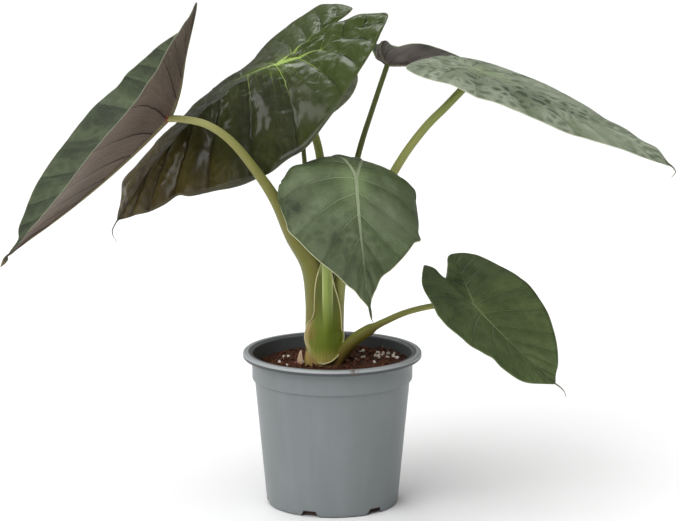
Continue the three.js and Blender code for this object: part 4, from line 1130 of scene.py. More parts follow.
# %% Numbers of the stalks
STALKS = {
    "front": dict(facing=270, stations=(
        (-11.2, -13.5, 138.0, 2.5, 1.6, 0.2, 0, 0.8, 2),
        (-10.2, -13, 141.4, 8.4, 2.8, 1.0, 0, 1.3, 3),
        (-9.0, -12.4, 146.2, 13.4, 3.6, 2.6, 0, 1.7, 4),
        (-7.8, -11.5, 152.8, 17.0, 4.2, 5.0, 0.2, 2.0, 3.6),
        (-7.4, -10.6, 162, 19.3, 4.4, 7.5, 0.6, 2.2, 3),
        (-7.2, -10.4, 170, 18.0, 4.4, 7, 1.2, 2.1, 2.8),
        (-5.4, -10.4, 178, 15, 4.2, 4.0, 1.8, 2.3, 1),
        (-4.6, -10.8, 188, 13.2, 4.2, 2.4, 2.3, 2.2, 0),
        (-5.6, -11.6, 199, 12, 4.2, 1.2, 2.6, 2.0, 1.0),
        (-7.2, -13.2, 216, 9.2, 4.2, 0.6, 2.4, 1.6, 2.3),
        (-6.0, -15, 232, 6.4, 4.2, 0.2, 1.4, 1.0, 2),
        (2, -21, 262, 4.1, 4, 0, 0, 0, 0),
        (12, -37, 297, 3.5, 3.5, 0, 0, 0, 0),
    )),
    "low_right": dict(facing=300, stations=(
        (3, -2, 131, 6, 5, 1),
        (7.4, -4.4, 142, 6.6, 5.4, 1),
        (16.4, -8, 155, 6.6, 5.6, 0.5),
        (24.4, -10, 163.1, 6.4, 5.6, 0.3),
        (31.5, -12, 168.6, 6.1, 5.3, 0.1),
        (36.6, -13, 172.2, 5.4, 4.8, 0),
        (41.2, -14, 175, 3.7, 3.6, 0),
        (50, -16, 180, 3.2, 3.2, 0),
        (69, -20, 189.4, 2.9, 2.9, 0),
        (92, -24, 196.2, 2.8, 2.8, 0),
        (115, -26.5, 199.2, 2.7, 2.7, 0),
    )),
    "left": dict(facing=200, stations=(
        (-20, 3, 131, 7, 5, 1),
        (-20.6, 1, 165, 7, 5, 1),
        (-20, 0.5, 198.5, 8.6, 5.6, 0.5),
        (-20.6, -6, 233, 12, 9.8, 0.5),
        (-37, -19.5, 263, 9.2, 7.6, 0),
        (-52, -38.5, 299.6, 5.9, 5.8, 0),
        (-70.2, -54.5, 330.8, 4.5, 4.5, 0),
        (-92, -63, 359.4, 3.9, 3.9, 0),
        (-113.7, -66, 375.4, 3.5, 3.5, 0),
        (-136, -57, 379.4, 3.3, 3.3, 0),
    )),
    "long_right": dict(facing=20, stations=(
        (4, 3, 131, 7, 6, 0),
        (4.6, 2, 160, 7.2, 6, 0),
        (5.6, 1, 200, 7.4, 6, 0),
        (9.4, 3, 224, 7.6, 6, 0),
        (22, 9, 250, 5.4, 5, 0),
        (60.6, 22, 320.5, 4.2, 4.2, 0),
        (86, 24, 356.8, 4, 4, 0),
        (109.4, 25, 381, 3.9, 3.9, 0),
    )),
    "centre": dict(facing=90, stations=(
        (-9.5, 9.5, 131, 6.2, 6, 0),
        (-9.7, 9.5, 166, 6, 5.6, 0),
        (-9.8, 12, 233, 5, 4.8, 0),
        (-10, 18, 290, 4.2, 4.2, 0),
        (-12, 24, 333, 4, 3.9, 0),
        (-24, 28, 372, 3.7, 3.7, 0),
        (-39, 29.5, 400, 3.5, 3.5, 0),
    )),
    "back_right": dict(facing=60, stations=(
        (0, 15, 131, 4.6, 4.2, 0),
        (1, 16, 166, 4.4, 4, 0),
        (2, 20, 215, 3.6, 3.6, 0),
        (9, 28, 262, 3.1, 3.1, 0),
        (24.7, 60, 326.5, 2.9, 2.9, 0),
        (38.5, 86, 367, 2.6, 2.6, 0),
    )),
    "hidden": dict(facing=120, stations=(
        (-17, 15, 131, 3.6, 3.4, 0),
        (-17, 17, 166, 3.4, 3.2, 0),
        (-20.5, 25, 230, 2.7, 2.7, 0),
        (-25.5, 35, 310, 2.3, 2.3, 0),
        (-28.5, 50, 353, 2.2, 2.2, 0),
        (-25.5, 68, 385, 2.1, 2.1, 0),
        (-19.5, 75, 398, 2.1, 2.1, 0),
    )),
}
print("stalks:", ", ".join(STALKS))

# %% [markdown]
# A stalk is built from its stations. A smooth run through them gives the middle and the sizes of
# every ring, and one grid is wrapped round the rings. It reaches right up to the blade's middle and
# is then cut off flat just under the blade, so that stalk and blade meet without a gap.

# %% Building a stalk
STALK_SIDES = 40
RINGS_PER_STATION = 10
STALK_END = 1.8  # how far under the blade's middle a stalk is cut
EDGE_CURL = 1.3  # how far from its edge the open sheath curls
RIDGE_SPREAD = 4.2  # half the width of its ridge
STALK_FACTS = ("height", "around_x", "around_y", "length_mm", "edge_mm")


def run_through(stations, share):
    """A smooth run through the stations, from 0 at the first to 1 at the last."""
    last = len(stations) - 1
    i = min(last - 1, int(share * last))
    t = share * last - i
    p0, p1, p2, p3 = (stations[min(last, max(0, i + step))] for step in (-1, 0, 1, 2))
    return [0.5 * (2 * b + (c - a) * t + (2 * a - 5 * b + 4 * c - d) * t * t
                   + (3 * b - a - 3 * c + d) * t ** 3) for a, b, c, d in zip(p0, p1, p2, p3)]


def stalk_frames(stations, facing, count):
    """For each ring: its middle, its sizes, and the directions across it and to its front."""
    front = Vector((math.cos(math.radians(facing)), math.sin(math.radians(facing)), 0))
    rings = [run_through(stations, k / (count - 1)) for k in range(count)]
    frames = []
    for k, ring in enumerate(rings):
        before = Vector(rings[max(0, k - 1)][:3])
        after = Vector(rings[min(count - 1, k + 1)][:3])
        along = (after - before).normalized()
        front = (front - along * front.dot(along)).normalized()
        frames.append((Vector(ring[:3]), ring[3:], along.cross(front), front.copy()))
    return frames


def stalk_surface(frames, share, angle, section):
    """The point on a stalk at a share of its length and an angle round it."""
    place = share * (len(frames) - 1)
    k = min(len(frames) - 2, int(place))
    points = []
    for middle, sizes, across, front in frames[k:k + 2]:
        wide, deep = section(sizes, angle)
        points.append(middle + across * wide + front * deep)
    return points[0].lerp(points[1], place - k)


def crescent(sizes, angle):
    """An ellipse whose sides may wrap back round the stalks behind it."""
    half, deep, wrap = sizes
    return half * math.cos(angle), deep * math.sin(angle) - wrap * math.cos(angle) ** 2


def open_sheath(sizes, angle):
    """A shield with a round ridge down its middle and edges that curl to the front."""
    half, deep, wrap, ridge, rim, ridge_at = sizes
    share = math.cos(angle)
    wide = half * share
    curl = rim * math.exp(-((1 - abs(share)) * half / EDGE_CURL) ** 2)
    depth = deep * math.sin(angle) - wrap * share ** 2 + curl
    if math.sin(angle) > 0:
        depth -= deep * math.sin(angle) * 0.5 * clamp(rim)
        depth += ridge * math.sqrt(math.sin(angle)) * math.exp(-((wide - ridge_at) / RIDGE_SPREAD) ** 2)
    return wide, depth


def new_tube_mesh():
    mesh_maker = bmesh.new()
    layers = {fact: mesh_maker.verts.layers.float.new(fact) for fact in STALK_FACTS}
    return mesh_maker, layers


def tube(mesh_maker, layers, frames, section, sides=STALK_SIDES):
    """A grid wrapped into a closed tube, with both ends filled."""
    rings = len(frames)
    made = bmesh.ops.create_grid(mesh_maker, x_segments=sides, y_segments=rings - 1, size=0.5)
    lengths = [0]
    for before, after in zip(frames, frames[1:]):
        lengths.append(lengths[-1] + (after[0] - before[0]).length)
    for corner in made["verts"]:
        share = corner.co.y + 0.5
        angle = 2 * math.pi * (corner.co.x + 0.5)
        ring = round(share * (rings - 1))
        corner.co = stalk_surface(frames, share, angle, section)
        corner[layers["edge_mm"]] = frames[ring][1][0] * (1 - abs(math.cos(angle)))
        corner[layers["height"]] = share
        corner[layers["around_x"]] = math.cos(angle)
        corner[layers["around_y"]] = math.sin(angle)
        corner[layers["length_mm"]] = lengths[ring]
    bmesh.ops.remove_doubles(mesh_maker, verts=made["verts"], dist=0.005)
    open_edges = [edge for edge in mesh_maker.edges if edge.is_boundary]
    bmesh.ops.holes_fill(mesh_maker, edges=open_edges, sides=0)


def turn_faces_out(mesh_maker):
    bmesh.ops.recalc_face_normals(mesh_maker, faces=mesh_maker.faces[:])


def cut_under_blade(mesh_maker, leaf):
    """Cuts the tube flat, a little under the blade that it carries, and closes the cut."""
    blade_up = leaf_place(leaf).to_3x3() @ Vector((0, 0, 1))
    whole = mesh_maker.verts[:] + mesh_maker.edges[:] + mesh_maker.faces[:]
    cut = bmesh.ops.bisect_plane(
        mesh_maker, geom=whole, dist=0.001, plane_co=Vector(leaf["hub"]) - blade_up * STALK_END,
        plane_no=blade_up, clear_outer=True)
    rim = [part for part in cut["geom_cut"] if isinstance(part, bmesh.types.BMEdge)]
    bmesh.ops.holes_fill(mesh_maker, edges=rim, sides=0)


def build_stalk(name, material, section=crescent):
    stalk = STALKS[name]
    hub = LEAVES[name]["hub"]
    stations = stalk["stations"] + (tuple(hub) + stalk["stations"][-1][3:],)
    frames = stalk_frames(stations, stalk["facing"], (len(stations) - 1) * RINGS_PER_STATION + 1)
    mesh_maker, layers = new_tube_mesh()
    tube(mesh_maker, layers, frames, section, 2 * STALK_SIDES if section is open_sheath else STALK_SIDES)
    cut_under_blade(mesh_maker, LEAVES[name])
    turn_faces_out(mesh_maker)
    return piece_from(mesh_maker, f"stalk_{name}", [material], [f"petiole_{name}"])


print("a stalk has", STALK_SIDES, "sides and", RINGS_PER_STATION, "rings to a station")

# %% [markdown]
# A stalk is smooth and fleshy, with fine lines along it. Its colour runs from pale or tan in the
# crown to olive green at the blade, and one side is often flushed brown or pink. The material mixes
# those colours by height and by the angle round the stalk, and a noise that is stretched along the
# stalk makes the lines.

# %% Finish of the stalks
LINE_STRETCH = (("around_x", 3.0), ("around_y", 3.0), ("length_mm", 0.02))
LINE_DARK = (0.86, 0.87, 0.84)
LINE_LIGHT = (1.06, 1.05, 1.03)
LINE_DEPTH = 0.0003  # metres


def flushed_side(tree, height, flush_side, flush_show):
    """A mask for the side that the flush is on. The side is an angle round the stalk."""
    side = plus(times(fact(tree, "around_x"), math.cos(flush_side)),
                times(fact(tree, "around_y"), math.sin(flush_side)))
    on_side = mask_of(side, 0.1, 0.9, 0.0, flush_show)
    return times(on_side, mask_of(height, 0.5, 0.9, 1.0, 0.2))


def stalk_finish(name, base, middle, top, flush, flush_side, flush_show=0.5, roughness=0.4):
    material, tree, shader = new_finish(f"stalk {name}", roughness, 0.06, 0.35, 0.25)
    height = fact(tree, "height")
    around = join_axes(*(times(fact(tree, axis), stretch) for axis, stretch in LINE_STRETCH))
    streak = mask_of(noise_of(around, 1.6, 4.0, 0.6), 0.3, 0.7)
    lines = noise_of(around, 7.0, 3.0, 0.6)
    colour = blend(mask_of(height, 0.03, 0.3), paint(*base), paint(*middle))
    colour = lay_over(colour, mask_of(height, 0.4, 1.0), top)
    flushed = flushed_side(tree, height, flush_side, flush_show)
    colour = lay_over(colour, times(flushed, plus(streak, 0.35)), flush)
    colour = toned(colour, mask_of(lines, 0.3, 0.7), LINE_DARK, LINE_LIGHT)
    lay_on(shader, colour, scaled(streak, 0.1, roughness - 0.05), lines, LINE_DEPTH)
    return material


STALK_FINISHES = {name: stalk_finish(name, *look) for name, look in (
    ("low_right", ((112, 96, 46), (116, 120, 44), (158, 162, 92), (104, 80, 42), 1.6, 0.6)),
    ("left", ((146, 144, 84), (110, 120, 50), (168, 166, 108), (128, 112, 58), 0.3, 0.5)),
    ("long_right", ((180, 168, 106), (170, 172, 100), (134, 144, 76), (204, 168, 136), 0.0, 0.75)),
    ("centre", ((156, 154, 88), (152, 158, 86), (168, 178, 92), (96, 84, 44), 0.0, 0.3)),
    ("back_right", ((118, 118, 62), (98, 106, 52), (96, 106, 58), (78, 80, 42), 0.0, 0.3)),
    ("hidden", ((124, 124, 74), (120, 126, 72), (170, 176, 118), (96, 94, 52), 0.0, 0.3)),
)}
print("plain stalk finishes:", len(STALK_FINISHES))

# %% [markdown]
# The front stalk opens into a broad sheath in the crown, and its colours follow the height above the
# table and the distance from its middle. So the recipe reads the object's own coordinates. Each
# range of heights has a name, because a colour that starts a few millimetres too high spoils the
# likeness at once.

# %% Finish of the open sheath
SHEATH_MIDDLE = 4.4  # how far the sheath's middle is left of the pot's, in millimetres
SHEATH_RISES = {  # heights in metres between which a colour comes in
    "green": (0.139, 0.156), "hollow": (0.16, 0.205), "strip": (0.165, 0.215), "strip edge": (0.18, 0.21),
    "stalk": (0.222, 0.24), "upper stalk": (0.225, 0.29), "bulge": (0.146, 0.156),
}
SHEATH_FALLS = {  # and heights between which one goes out
    "hem": (0.222, 0.238), "low left": (0.143, 0.152), "bulge": (0.172, 0.184), "foot": (0.1388, 0.1402),
}
STRIP_EDGE = (3.6, 4.4, 4.6, 5.4)  # distances from the middle, in millimetres
TAN_BASE = (178, 166, 92)
OLIVE = (112, 128, 34)
SHADED_HOLLOW_OLIVE = (88, 96, 30)
STRIP_GREEN = (152, 168, 88)
CREAM = (206, 210, 152)
HEM_CREAM = (206, 198, 148)
STALK_GREENS = ((146, 156, 96), (122, 142, 70))
SHEATH_BROWN = (142, 112, 60)
ROLLED_EDGE = (192, 168, 122)


def rises(z, name, most=1.0):
    return mask_of(z, *SHEATH_RISES[name], 0.0, most)


def falls(z, name):
    return below(z, *SHEATH_FALLS[name])


def sheath_ground(z, beside):
    """Olive hollows in painted shade, a bright strip down the middle with a cream line on each side, and the
    stalk.
    """
    low = blend(rises(z, "green"), paint(*TAN_BASE), paint(*OLIVE))
    # The hollows beside the strip are painted a darker olive, as shade.
    hollow = lay_over(low, rises(z, "hollow"), SHADED_HOLLOW_OLIVE)
    strip = lay_over(low, rises(z, "strip"), STRIP_GREEN)
    line_start, line_full, line_fading, line_end = STRIP_EDGE
    colour = blend(below(beside, line_start, line_end), hollow, strip)
    line = mask_of(beside, line_start, line_full)
    line = times(line, below(beside, line_fading, line_end))
    colour = lay_over(colour, times(line, rises(z, "strip edge", 0.85)), CREAM)
    stalk = blend(rises(z, "upper stalk"), *(paint(*green) for green in STALK_GREENS))
    return blend(rises(z, "stalk"), colour, stalk)


def sheath_hem(tree, z, wide):
    """A mask for the cream hem, which thins out low on the left, and for the cut foot."""
    hem = times(below(fact(tree, "edge_mm"), 0.7, 1.4), falls(z, "hem"))
    low_left = times(below(wide, -2.0, 0.0, 0.85), falls(z, "low left"))
    hem = sum_of("SUBTRACT", hem, times(hem, low_left))
    return sum_of("MAXIMUM", hem, falls(z, "foot"))


def rolled_bulge(tree, z, wide):
    """A mask for the left edge, where the sheath rolls outwards."""
    rolled = times(below(fact(tree, "edge_mm"), 1.5, 5.5, 0.85), below(wide, -8.0, -4.0))
    return times(rolled, times(rises(z, "bulge"), falls(z, "bulge")))


def sheath_finish():
    material, tree, shader = new_finish("open sheath", 0.36, 0.08, 0.3, 0.25)
    place = object_place(tree)
    x, _, z = split_axes(place)
    wide = scaled(x, 1 / MM, SHEATH_MIDDLE)
    beside = sum_of("ABSOLUTE", wide)
    lines_at = join_axes(times(wide, 0.5), times(z, 14.0))
    lines = mask_of(noise_of(lines_at, 1.6, 4.0, 0.6), 0.3, 0.7)
    patches = clouds(place, 70.0, 3.0, 0.35, 0.7)
    colour = sheath_ground(z, beside)
    brown = times(patches, mask_of(beside, 6.0, 15.0, 0.0, 0.6))
    colour = lay_over(colour, brown, SHEATH_BROWN)
    colour = toned(colour, lines, (0.88, 0.9, 0.84), (1.06, 1.05, 1.02))
    colour = lay_over(colour, rolled_bulge(tree, z, wide), ROLLED_EDGE)
    colour = lay_over(colour, sheath_hem(tree, z, wide), HEM_CREAM)
    lay_on(shader, colour, scaled(patches, 0.12, 0.3), lines, LINE_DEPTH)
    return material


STALK_FINISHES["front"] = sheath_finish()
print("stalk finishes:", len(STALK_FINISHES))

# %% [markdown]
# Every stalk is the same kind of tube. Only the front one has the section of an open sheath, and it
# gets twice as many sides, because its curled edge is thin.

# %% Build the stalks
STALK_PIECES = {name: build_stalk(name, STALK_FINISHES[name], open_sheath if name == "front" else crescent)
                for name in STALKS}
for name, stalk in STALK_PIECES.items():
    print(name, "stalk:", len(stalk.data.polygons), "faces")

# %% [markdown]
# Under the open sheath a tan stub of the stem shows, where older leaves have been. It is one more
# short tube, a little behind the sheath.

# %% Tan stub under the sheath
STUB_STATIONS = (
    (-13.5, -4.5, 129, 13.5, 7, 3),
    (-13.5, -5.2, 140, 13.4, 7, 3.5),
    (-12, -4.6, 147, 12, 5, 4),
    (-11, -4, 152, 9, 4, 4),
)
STUB_FINISH = stalk_finish("stub", (182, 156, 108), (172, 148, 86), (164, 146, 86), (132, 98, 64),
                           1.2, 0.5, 0.55)
stub_mesh, stub_layers = new_tube_mesh()
tube(stub_mesh, stub_layers, stalk_frames(STUB_STATIONS, 270, 25), crescent)
turn_faces_out(stub_mesh)
piece_from(stub_mesh, "sheath_stub", [STUB_FINISH])
print("stub:", STUB_STATIONS[-1][2] - STUB_STATIONS[0][2], "mm tall")

# %% [markdown]
# Most blades end in a thin thread, the drip tip. It is the same tube as a stalk, only much thinner.
# It starts inside the blade, where the root stations are as wide as the blade's own last
# millimetres, so that the blade runs out into the thread without a step.

# %% Drip tips
DRIP_ROOTS = ((7, 1.0, 0.7),)  # how far back from the tip, half width, and how thick it is for its width
DRIP_HALVES = (0.9, 0.75, 0.5, 0.35)  # half width at the tip and at each step after it
DRIP_FLATNESS = 0.7
DRIP_SIDES = 12
DRIP_RINGS = 6  # from one station to the next


def drip_stations(leaf):
    place = leaf_place(leaf)
    stations = []
    for back, half, flatness in leaf.get("drip_roots", DRIP_ROOTS):
        root = tugged(leaf, place, leaf["left"], -1, (0, leaf["length"] - back))
        stations.append((*root, half, half * flatness, 0))
    tip = tugged(leaf, place, leaf["left"], -1, (0, leaf["length"]))
    for step, half in zip(((0, 0, 0), *leaf["drip"]), leaf.get("drip_halves", DRIP_HALVES)):
        stations.append((*(tip + Vector(step)), half, half * DRIP_FLATNESS, 0))
    return stations


def build_drip_tip(name):
    """A short tube from inside the blade's tip along the steps given, thinner towards its end."""
    stations = drip_stations(LEAVES[name])
    frames = stalk_frames(stations, 0, (len(stations) - 1) * DRIP_RINGS + 1)
    mesh_maker, layers = new_tube_mesh()
    tube(mesh_maker, layers, frames, crescent, DRIP_SIDES)
    turn_faces_out(mesh_maker)
    finish = GREEN_DRIP_FINISH if name == "front" else DRIP_FINISH
    return piece_from(mesh_maker, f"drip_tip_{name}", [finish])


DRIP_FINISH = stalk_finish("drip tip", (66, 70, 48), (78, 76, 54), (120, 108, 84), (60, 50, 40), 0.0)
GREEN_DRIP_FINISH = stalk_finish("green drip tip", (58, 70, 42), (62, 76, 46), (92, 104, 70), (44, 52, 32),
                                 0.0)
DRIP_TIPS = [build_drip_tip(name) for name in LEAVES if LEAVES[name]["drip"]]
print("drip tips:", len(DRIP_TIPS))

# %% [markdown]
# The pot is a thin-walled nursery pot: a tapered body, a slightly wider collar above a fine step,
# and a flat rim that stands out all round. Such a shape is turned on a lathe, so its outline is
# drawn once as a row of corners and spun. The rim's corners are rounded in the outline itself, which
# catches the light as the moulded edge does.

# %% Numbers and outline of the pot
POT_HEIGHT = 148
RIM_RADIUS = 85.2
RIM_DROP = 5.5
COLLAR_RADIUS = 76.8
COLLAR_BOTTOM = 121
SHOULDER_RADIUS = 74
FOOT_RADIUS = 63
FOOT_ROUND = 3
FOOT_LINE = 8  # the height of a fine moulded line near the foot
BODY_MIDDLE = 62
WALL = 1.3
FLOOR = 2
POT_STEPS = 144


def body_radius(z):
    return mix(FOOT_RADIUS, SHOULDER_RADIUS, (z - FOOT_ROUND) / (COLLAR_BOTTOM - FOOT_ROUND))


def foot_outline():
    below_line = FOOT_LINE - 0.6
    above_line = FOOT_LINE + 0.6
    return [
        (0, 0), (FOOT_RADIUS - FOOT_ROUND, 0), (FOOT_RADIUS - 1, 0.9), (FOOT_RADIUS - 0.1, FOOT_ROUND),
        (body_radius(below_line), below_line), (body_radius(FOOT_LINE) - 0.25, FOOT_LINE),
        (body_radius(above_line), above_line), (body_radius(BODY_MIDDLE), BODY_MIDDLE),
    ]


def collar_and_rim_outline():
    rim_bottom = POT_HEIGHT - RIM_DROP
    return [
        (SHOULDER_RADIUS, COLLAR_BOTTOM), (COLLAR_RADIUS - 0.7, COLLAR_BOTTOM + 0.8),
        (COLLAR_RADIUS - 0.4, COLLAR_BOTTOM + 1.8), (COLLAR_RADIUS, rim_bottom - 0.8),
        (COLLAR_RADIUS + 1, rim_bottom), (RIM_RADIUS - 0.9, rim_bottom),
        (RIM_RADIUS - 0.1, rim_bottom + 0.8), (RIM_RADIUS, POT_HEIGHT - 1.9),
        (RIM_RADIUS - 0.25, POT_HEIGHT - 0.9),
        (RIM_RADIUS - 0.9, POT_HEIGHT - 0.2), (RIM_RADIUS - 1.8, POT_HEIGHT),
    ]


def inside_outline():
    return [
        (COLLAR_RADIUS + 1.6, POT_HEIGHT - 0.1), (COLLAR_RADIUS - 0.2, POT_HEIGHT - 0.8),
        (COLLAR_RADIUS - WALL, POT_HEIGHT - 2.6), (COLLAR_RADIUS - 0.4 - WALL, COLLAR_BOTTOM + 2.6),
        (SHOULDER_RADIUS - WALL, COLLAR_BOTTOM + 1), (body_radius(BODY_MIDDLE) - WALL, BODY_MIDDLE),
        (body_radius(4) - WALL, FLOOR + 2), (body_radius(4) - WALL - 2, FLOOR), (0, FLOOR),
    ]


def turned(outline, steps, middle=(0, 0)):
    """Spins an outline of (radius, height) corners round the upright axis into a closed solid."""
    mesh_maker = bmesh.new()
    corners = [mesh_maker.verts.new((radius, 0, z)) for radius, z in outline]
    edges = [mesh_maker.edges.new(pair) for pair in zip(corners, corners[1:])]
    bmesh.ops.spin(
        mesh_maker, geom=corners + edges, cent=(0, 0, 0), axis=(0, 0, 1), angle=2 * math.pi,
        steps=steps, use_merge=True, use_duplicate=False)
    bmesh.ops.remove_doubles(mesh_maker, verts=mesh_maker.verts[:], dist=0.001)
    turn_faces_out(mesh_maker)
    bmesh.ops.translate(mesh_maker, vec=(*middle, 0), verts=mesh_maker.verts[:])
    return mesh_maker


POT_OUTLINE = foot_outline() + collar_and_rim_outline() + inside_outline()
print("the pot's outline has", len(POT_OUTLINE), "corners")

# %% [markdown]
# Six notches in the foot let water out. They interrupt the turned shape, so they are cut out of it
# with a boolean: six wedges stand across the bottom edge, each wider at the foot.

# %% Notches in the foot
NOTCH_ANGLES = (-80, -20, 40, 100, 160, 220)
NOTCH_BOTTOM = 20
NOTCH_TOP = 12
NOTCH_HEIGHT = 6
NOTCH_DEPTH = 12  # across the wall


def notch_cutter():
    mesh_maker = bmesh.new()
    for angle in NOTCH_ANGLES:
        wedge = bmesh.ops.create_cube(mesh_maker, size=1)["verts"]
        for corner in wedge:
            width = NOTCH_TOP if corner.co.z > 0 else NOTCH_BOTTOM
            height = NOTCH_HEIGHT if corner.co.z > 0 else -1
            corner.co = (corner.co.x * width, -FOOT_RADIUS + 2 + corner.co.y * NOTCH_DEPTH, height)
        turn = Matrix.Rotation(math.radians(angle), 3, "Z")
        bmesh.ops.rotate(mesh_maker, verts=wedge, cent=(0, 0, 0), matrix=turn)
    bmesh.ops.scale(mesh_maker, vec=(MM, MM, MM), verts=mesh_maker.verts[:])
    mesh = bpy.data.meshes.new("notch cutter")
    mesh_maker.to_mesh(mesh)
    mesh_maker.free()
    return bpy.data.objects.new("notch_cutter", mesh)


def cut_away(piece, cutter):
    """Cuts one object out of another and keeps the result as the piece's own mesh."""
    bpy.context.scene.collection.objects.link(cutter)
    cutting = piece.modifiers.new("notches", "BOOLEAN")
    cutting.operation = "DIFFERENCE"
    cutting.object = cutter
    cutting.solver = "EXACT"
    shaped = piece.evaluated_get(bpy.context.evaluated_depsgraph_get())
    mesh = bpy.data.meshes.new_from_object(shaped)
    piece.modifiers.clear()
    piece.data = mesh
    bpy.data.objects.remove(cutter)


print("notches:", len(NOTCH_ANGLES), "of", NOTCH_BOTTOM, "mm across at the foot")

# %% [markdown]
# The pot's plastic is a matt blue-grey. It has a very fine grain, faint upright flow marks from the
# mould, and a little soil on the rim and down inside. The inside wall is painted a darker grey,
# partly for that soil and partly as painted shade. The inside is told from the outside by the
# distance from the pot's axis, so one material serves both. The rim has three rings of its own: a
# pale painted highlight on top, a dark ring of painted shade in the groove inside it and a painted
# shadow under the lip.

# %% Rings of the rim
PLASTIC = ((112, 118, 119), (121, 126, 128))
INSIDE_SOIL_AND_SHADE_GREY = (84, 88, 90)
TOP_HIGHLIGHT_GREY = (168, 172, 174)
GROOVE_SHADE_GREY = (60, 63, 65)
LIP_SHADOW_GREY = (56, 58, 60)
INNER_EDGE = (COLLAR_RADIUS - 0.3) * MM
ABOVE_SOIL = (0.125, 0.127)  # heights and radii are in metres from here on
ON_TOP = (0.1455, 0.1462)
TOP_RING = (0.0797, 0.0805)
GROOVE_RING = (0.0764, 0.0772)
GROOVE_GONE = (-0.074, -0.05)  # the groove fades out towards the front
LIP_RING = (0.0825, 0.0835)
LIP_TOP = (0.1450, 0.1458)
LIP_BOTTOM = (0.1425, 0.1430)


def axis_distance(x, y):
    return sum_of("SQRT", plus(times(x, x), times(y, y)))


def ringed(colour, radius, y, z):
    """Lays the three rings of the rim over the plastic: a painted highlight, painted shade and a painted
    shadow.
    """
    on_top = mask_of(z, *ON_TOP)
    # A pale ring on top of the rim: a painted highlight.
    top_ring = times(mask_of(radius, *TOP_RING), on_top)
    colour = lay_over(colour, times(top_ring, 0.85), TOP_HIGHLIGHT_GREY)
    # A dark ring in the groove inside it, fading out towards the front: painted shade.
    groove = times(mask_of(radius, *GROOVE_RING), below(radius, *TOP_RING, 0.9))
    groove = times(groove, mask_of(y, *GROOVE_GONE))
    colour = lay_over(colour, times(groove, on_top), GROOVE_SHADE_GREY)
    # A dark ring just under the lip: a painted shadow.
    lip = times(mask_of(radius, *LIP_RING), below(z, *LIP_TOP, 0.9))
    return lay_over(colour, times(lip, mask_of(z, *LIP_BOTTOM)), LIP_SHADOW_GREY)


print("the pale ring is", round((RIM_RADIUS * MM - TOP_RING[1]) / MM, 1), "mm wide")

# %% [markdown]
# A used pot is not clean. Specks of soil stick to the inside above the soil, and there is one
# smudge on the front of the rim. Both are noise with a hard edge, kept to their place by a mask.

# %% Finish of the pot
FLOW_STRETCH = (1.0, 1.0, 0.06)  # draws the noise out upwards
SPECK_BROWN = (62, 40, 30)
SPECKS_THIN_OUT = (0.133, 0.146)
SMUDGE_BROWN = (96, 66, 50)
SMUDGE_PLACE = (0.021, -0.0815, 0.1478)
SMUDGE_SIZE = (0.0015, 0.006)


def soiled(tree, colour, place, inside, z):
    specks = mask_of(noise_of(place, 420.0, 2.0, 0.7), 0.66, 0.72)
    near_soil = times(inside, mask_of(z, *SPECKS_THIN_OUT, 1.0, 0.15))
    colour = lay_over(colour, times(specks, near_soil), SPECK_BROWN)
    from_smudge = vectors(tree, "DISTANCE", place, SMUDGE_PLACE)
    smudge = times(below(from_smudge.outputs["Value"], *SMUDGE_SIZE),
                   clouds(place, 300.0, 3.0, 0.4, 0.55))
    return lay_over(colour, smudge, SMUDGE_BROWN)


def pot_finish():
    material, tree, shader = new_finish("pot plastic", 0.42, reflection=0.45)
    place = object_place(tree)
    x, y, z = split_axes(place)
    radius = axis_distance(x, y)
    flow = set_inputs(add_node(tree, "ShaderNodeMapping"), Vector=place, Scale=FLOW_STRETCH)
    flow_marks = clouds(flow.outputs["Vector"], 60.0, 3.0, 0.3, 0.7)
    cloud = clouds(place, 22.0, 4.0, 0.3, 0.7)
    paler = scaled(flow_marks, 0.45, times(cloud, 0.5))
    inward = below(radius, INNER_EDGE - 0.0009, INNER_EDGE)
    inside = times(inward, mask_of(z, *ABOVE_SOIL))
    colour = blend(paler, *(paint(*grey) for grey in PLASTIC))
    # The inside wall is painted a darker grey, partly for soil stains and partly as painted shade.
    colour = lay_over(colour, times(inside, 0.9), INSIDE_SOIL_AND_SHADE_GREY)
    colour = soiled(tree, ringed(colour, radius, y, z), place, inside, z)
    relief = plus(noise_of(place, 1500.0, 2.0), times(flow_marks, 0.6))
    lay_on(shader, colour, scaled(cloud, 0.08, 0.36), relief, 0.00006)
    return material


POT_FINISH = pot_finish()
print("pot finish:", len(POT_FINISH.node_tree.nodes), "nodes")

# %% [markdown]
# The outline is spun, the notches are cut, and smooth shading with weighted normals keeps the wide
# flat faces flat while the small rounded corners stay soft.

# %% Build the pot
pot_mesh = turned(POT_OUTLINE, POT_STEPS)
pot = piece_from(pot_mesh, "nursery_pot", [POT_FINISH], ["pot"])
cut_away(pot, notch_cutter())
pot.data.shade_smooth()
edge_angles = pot.modifiers.new("edges", "WEIGHTED_NORMAL")
edge_angles.keep_sharp = True
print("pot:", len(pot.data.polygons), "faces, rim", 2 * RIM_RADIUS, "mm across")

# %% [markdown]
# The potting soil is dark, red brown and fibrous. Its surface lies just below the rim, a little
# higher on one side. It is a turned disc with fine rings, whose corners are lifted by noise, with a
# hollow in the middle for the stem base.

# %% Soil surface
SOIL_LEVEL = 136
SOIL_TILT = 0.03
SOIL_LUMP = 1.3
SOIL_CLEARANCE = 0.6
COARSE_LIFT = 1.4
MEDIUM_LIFT = 0.9
CROWN = (-7.7, 4)
HOLE_RADIUS = 22.4
HOLE_FLOOR = 100
SOIL_RADIUS = SHOULDER_RADIUS - WALL - SOIL_CLEARANCE
SOIL_RINGS = 46
SOIL_STEPS = 180


